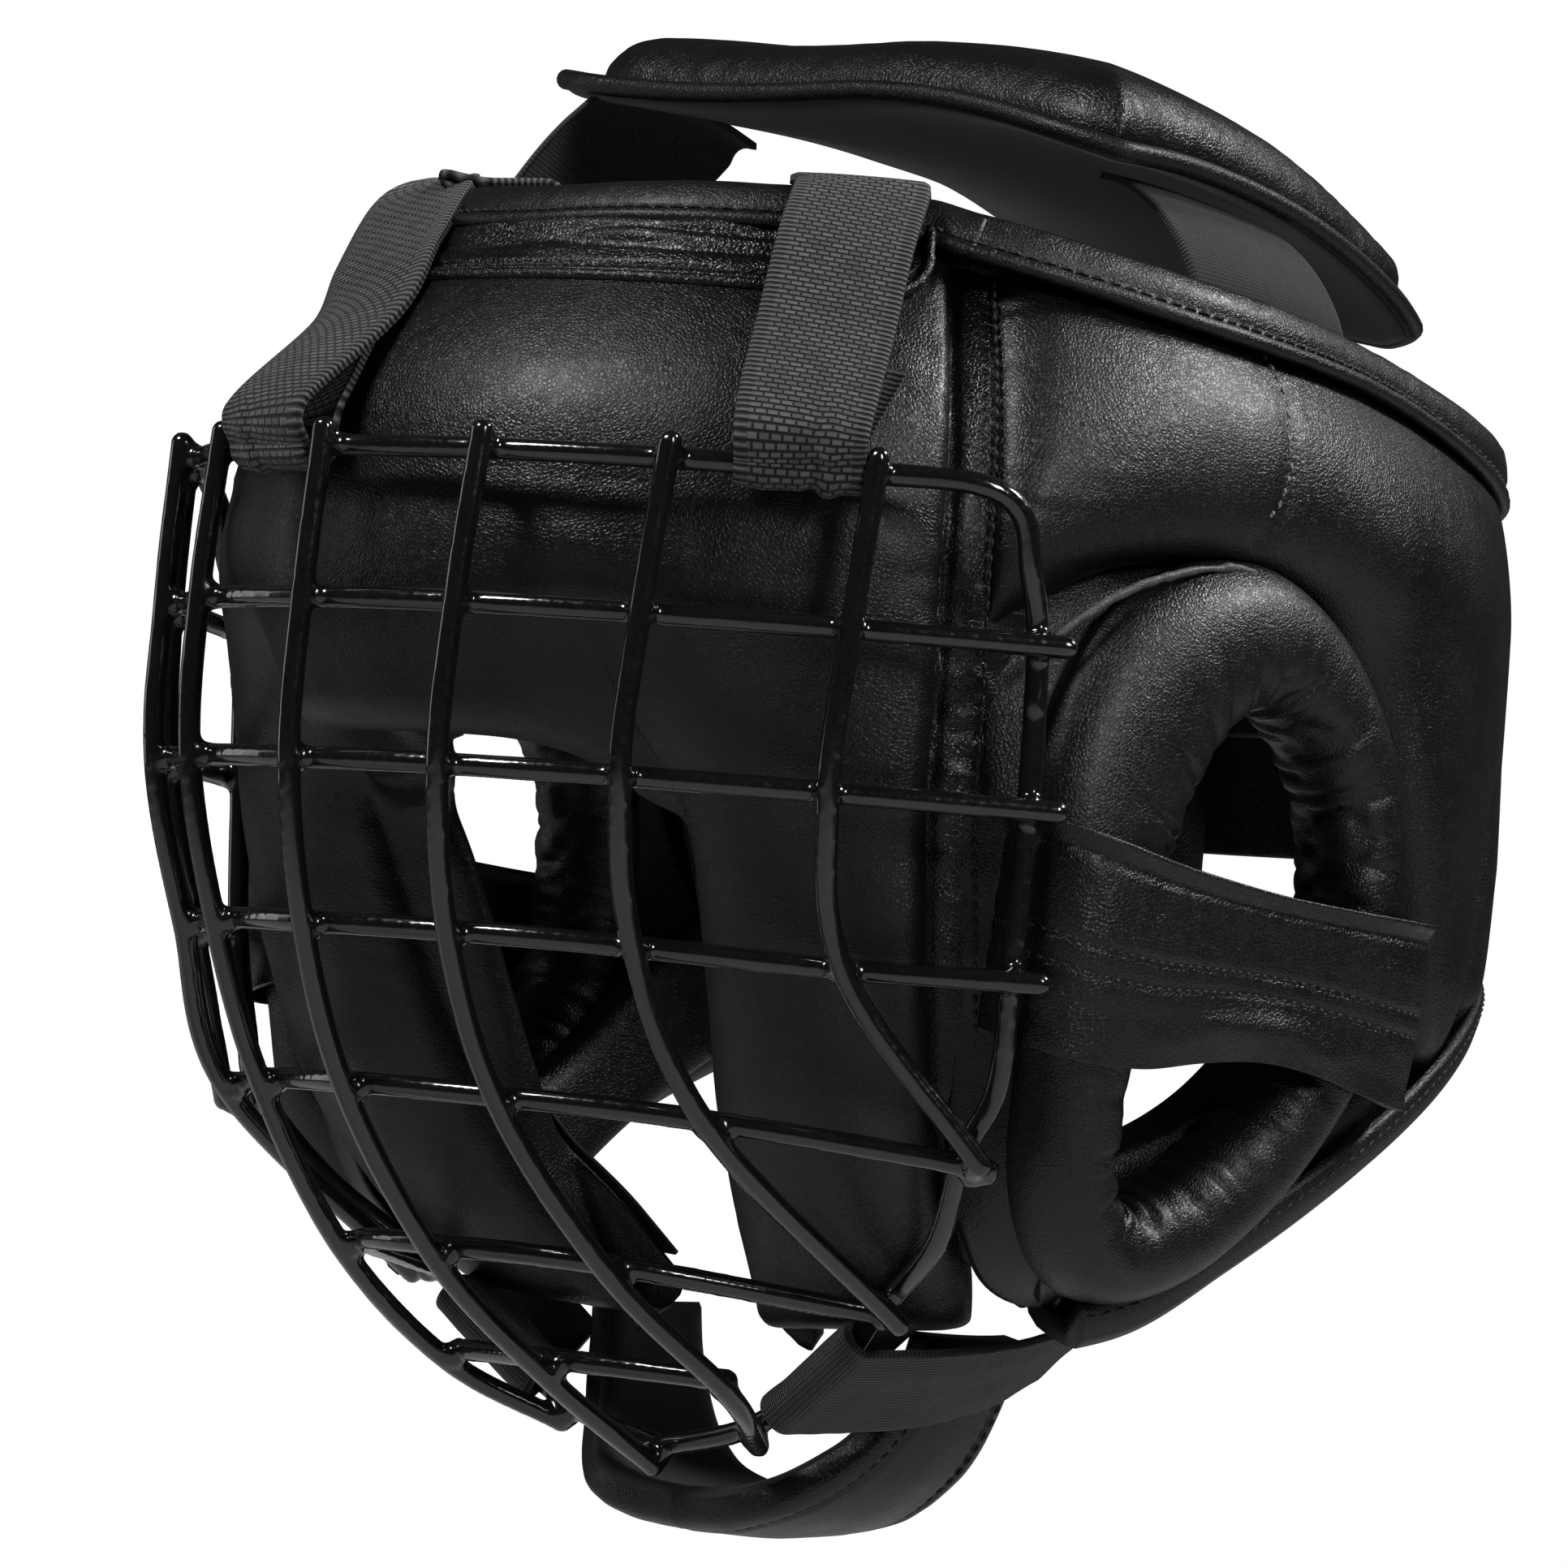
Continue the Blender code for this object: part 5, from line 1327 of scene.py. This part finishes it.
SLING = [(0, -119), (14, -118), (27, -114), (37, -106), (43, -97), (47, -87), (49, -77)]


def build_chin():
    """Leather sling under the chin with a bound and stitched edge."""
    half = smooth_path([(x, 0, z) for x, z in SLING], 60)
    line = np.vstack([mirror_of(half[1:], -1)[::-1], half])
    tangent = unit(np.gradient(line, axis=0))
    inward = np.cross(tangent, np.array([0, 1.0, 0]))
    inward = inward * np.sign(inward[len(line) // 2][2])
    reach = abs(line[:, 0]) / 49.0
    front = along(reach, [0, 0.6, 1], [-37, -34, -17])
    back = along(reach, [0, 0.6, 1], [4, 6, 9])
    v = eased(48, 0.5)[:, None]
    y = front[None] + (back - front)[None] * v

    def sheet(depth):
        grid = line[None] + inward[None] * depth[..., None]
        grid[..., 1] = y
        return grid
    curl = 1.6 * (2 * v - 1) ** 2 + 0 * y
    flat = sheet(curl)
    edge = edge_run(flat)
    shape = curl + rolled(edge, 4, 2.0) + 0.35 * field(line[:, 0][None] / 12, y / 10, 103)
    shape = shape + 0.22 * field(line[:, 0][None] / 3.2, y / 3.4, 104) * np.exp(-edge / 6)
    shape = shape + 0.5 * bell(edge, 5.0, 0.8)
    points, faces, index = two_sided(sheet(shape), sheet(curl + 8.4 - rolled(edge, 5, 2.6)))
    obj = piece("chin_pad", points, faces, "chin_sling", "black_leather", [HIDE, LINING],
                ("chin_cup_leather", "chin_cup_foam"), index=index)
    outer = sheet(shape)
    row = int(np.argmin(abs(grid_run(flat, 0)[:, 60] - 5.0)))
    col = int(np.argmin(abs(grid_run(flat, 1)[24] - 5.0)))
    out = -np.broadcast_to(inward[None], outer.shape)
    stitches("chin_pad_stitch", inset_ring(outer, row, col), inset_ring(out, row, col),
             "chin_sling", "black_leather", THREAD, pitch=2.9)


def build_bands():
    """Knit bands that run along the jaw and fold round the cage's lower wire."""
    high, low = np.array([62.0, -47.5, -72.5]), np.array([25.5, -42.0, -98.0])
    run_dir = unit(high - low)
    middle = (high + low) / 2 + np.array([0.6, 0.6, 0.4])
    back = unit([0.62, 0.78, 0.10])
    out = unit(np.cross(back, run_dir))
    ahead = unit(np.cross(run_dir, out))
    ahead = -ahead if ahead[1] > 0 else ahead
    r = WIRE_R + 1.7
    offsets = [out * (r - tuck) + back * s
               for s, tuck in ((50, 11), (38, 4), (25, 0.8), (12, 0), (3, 0))]
    for rad in np.radians([0, 30, 60, 90, 120, 150, 180]):
        offsets.append(out * r * np.cos(rad) + ahead * r * np.sin(rad))
    offsets += [-out * r + back * s for s in (4, 12)]
    line = smooth_path(offsets, 150)
    slope = unit(np.gradient(line, axis=0))
    face = unit(np.cross(slope, run_dir))
    run = arc_run(line)
    w = np.linspace(-BAND_HALF, BAND_HALF, 49)[None]
    wrinkle = 0.35 * field(run[:, None] / 9, w / 7, 105) \
        + 0.12 * field(run[:, None] / 2.6, w / 14, 106)
    centre = middle + line[:, None] + run_dir * w[..., None] + face[:, None] * wrinkle[..., None]
    points, faces, _ = two_sided(centre + face[:, None] * 0.8, centre - face[:, None] * 0.8)
    pair("jaw_band", points, faces, KNIT, "chin_band", "knit_elastic", "cage",
         uv=strip_uv(w, run[:, None]))


# ---------------------------------------------------------------- room, lights and camera

def placed(x, y, z, origin):
    """Matrix whose columns are three axes and an origin."""
    return Matrix([*zip(x, y, z, origin), (0, 0, 0, 1)])


def build_stage():
    """Pale seamless room, soft studio lights, and the camera."""
    scene = bpy.context.scene
    bpy.ops.mesh.primitive_plane_add(size=4.2, location=(0, 0, -0.36))
    floor = bpy.context.object
    floor.name = "floor"
    pale = Nodes("pale_floor", (0.6, 0.6, 0.6), 0.9, Specular_IOR_Level=0.1)
    grit = pale.add("TexNoise", None, Vector=pale.place(), Scale=30.0, Detail=3.0)
    pale.colour(grit.outputs["Fac"], (0.58, 0.58, 0.58), (0.62, 0.62, 0.62))
    floor.data.materials.append(pale.mat)
    world = bpy.data.worlds.new("studio")
    scene.world = world
    world.use_nodes = True
    tree = world.node_tree
    tree.nodes.clear()
    seen, lit = tree.nodes.new("ShaderNodeBackground"), tree.nodes.new("ShaderNodeBackground")
    seen.inputs["Color"].default_value = (1, 1, 1, 1)
    seen.inputs["Strength"].default_value = 1.0
    lit.inputs["Color"].default_value = (1, 1, 1, 1)
    lit.inputs["Strength"].default_value = 0.07
    path, mix = tree.nodes.new("ShaderNodeLightPath"), tree.nodes.new("ShaderNodeMixShader")
    tree.links.new(path.outputs["Is Camera Ray"], mix.inputs[0])
    tree.links.new(lit.outputs[0], mix.inputs[1])
    tree.links.new(seen.outputs[0], mix.inputs[2])
    tree.links.new(mix.outputs[0], tree.nodes.new("ShaderNodeOutputWorld").inputs[0])
    for name, place, size, power in (
            ("key", (-0.25, -1.3, 1.45), (0.6, 0.4), 34.0),
            ("side", (1.75, -0.35, 0.95), (0.4, 0.7), 20.0),
            ("hair", (0.9, 1.3, 1.5), (0.7, 0.4), 40.0),
            ("fill", (-1.6, -0.7, 0.3), (0.6, 0.9), 3.0)):
        light = bpy.data.lights.new(name, "AREA")
        light.shape = "RECTANGLE"
        light.size, light.size_y = size
        light.energy = power
        obj = bpy.data.objects.new(name, light)
        scene.collection.objects.link(obj)
        back = unit(np.array(place))
        side = unit(np.cross(np.array([0, 0, 1.0]), back))
        rise = np.cross(back, side)
        obj.matrix_world = placed(side, rise, back, place)
    # the camera looks from the wearer's front left, a little below the middle, slightly rolled
    a, e, roll = 0.76816, -0.03956, 0.079125
    right = np.array([math.cos(a), math.sin(a), 0])
    toward = np.array([math.sin(a) * math.cos(e), -math.cos(a) * math.cos(e), math.sin(e)])
    rise = np.array([-math.sin(a) * math.sin(e), math.cos(a) * math.sin(e), math.cos(e)])
    place = (-14.97 * right + 28.90 * rise + 1493.74 * toward) * MM
    x = right * math.cos(roll) + rise * math.sin(roll)
    y = rise * math.cos(roll) - right * math.sin(roll)
    data = bpy.data.cameras.new("camera")
    data.sensor_width = 36.0
    data.lens = 173.072
    data.clip_start, data.clip_end = 0.05, 60.0
    camera = bpy.data.objects.new("camera", data)
    camera.matrix_world = placed(x, y, toward, place)
    scene.collection.objects.link(camera)
    scene.camera = camera
    scene.view_settings.view_transform = "Standard"
    scene.view_settings.gamma = 0.8


for build in (build_front_pad, build_seam_strips, build_side_pads, build_bindings, build_nape,
              build_flap, build_hoops, build_cuffs, build_jaw_sides, build_crown, build_rear,
              build_cage, build_straps, build_chin, build_bands, build_stage):
    build()
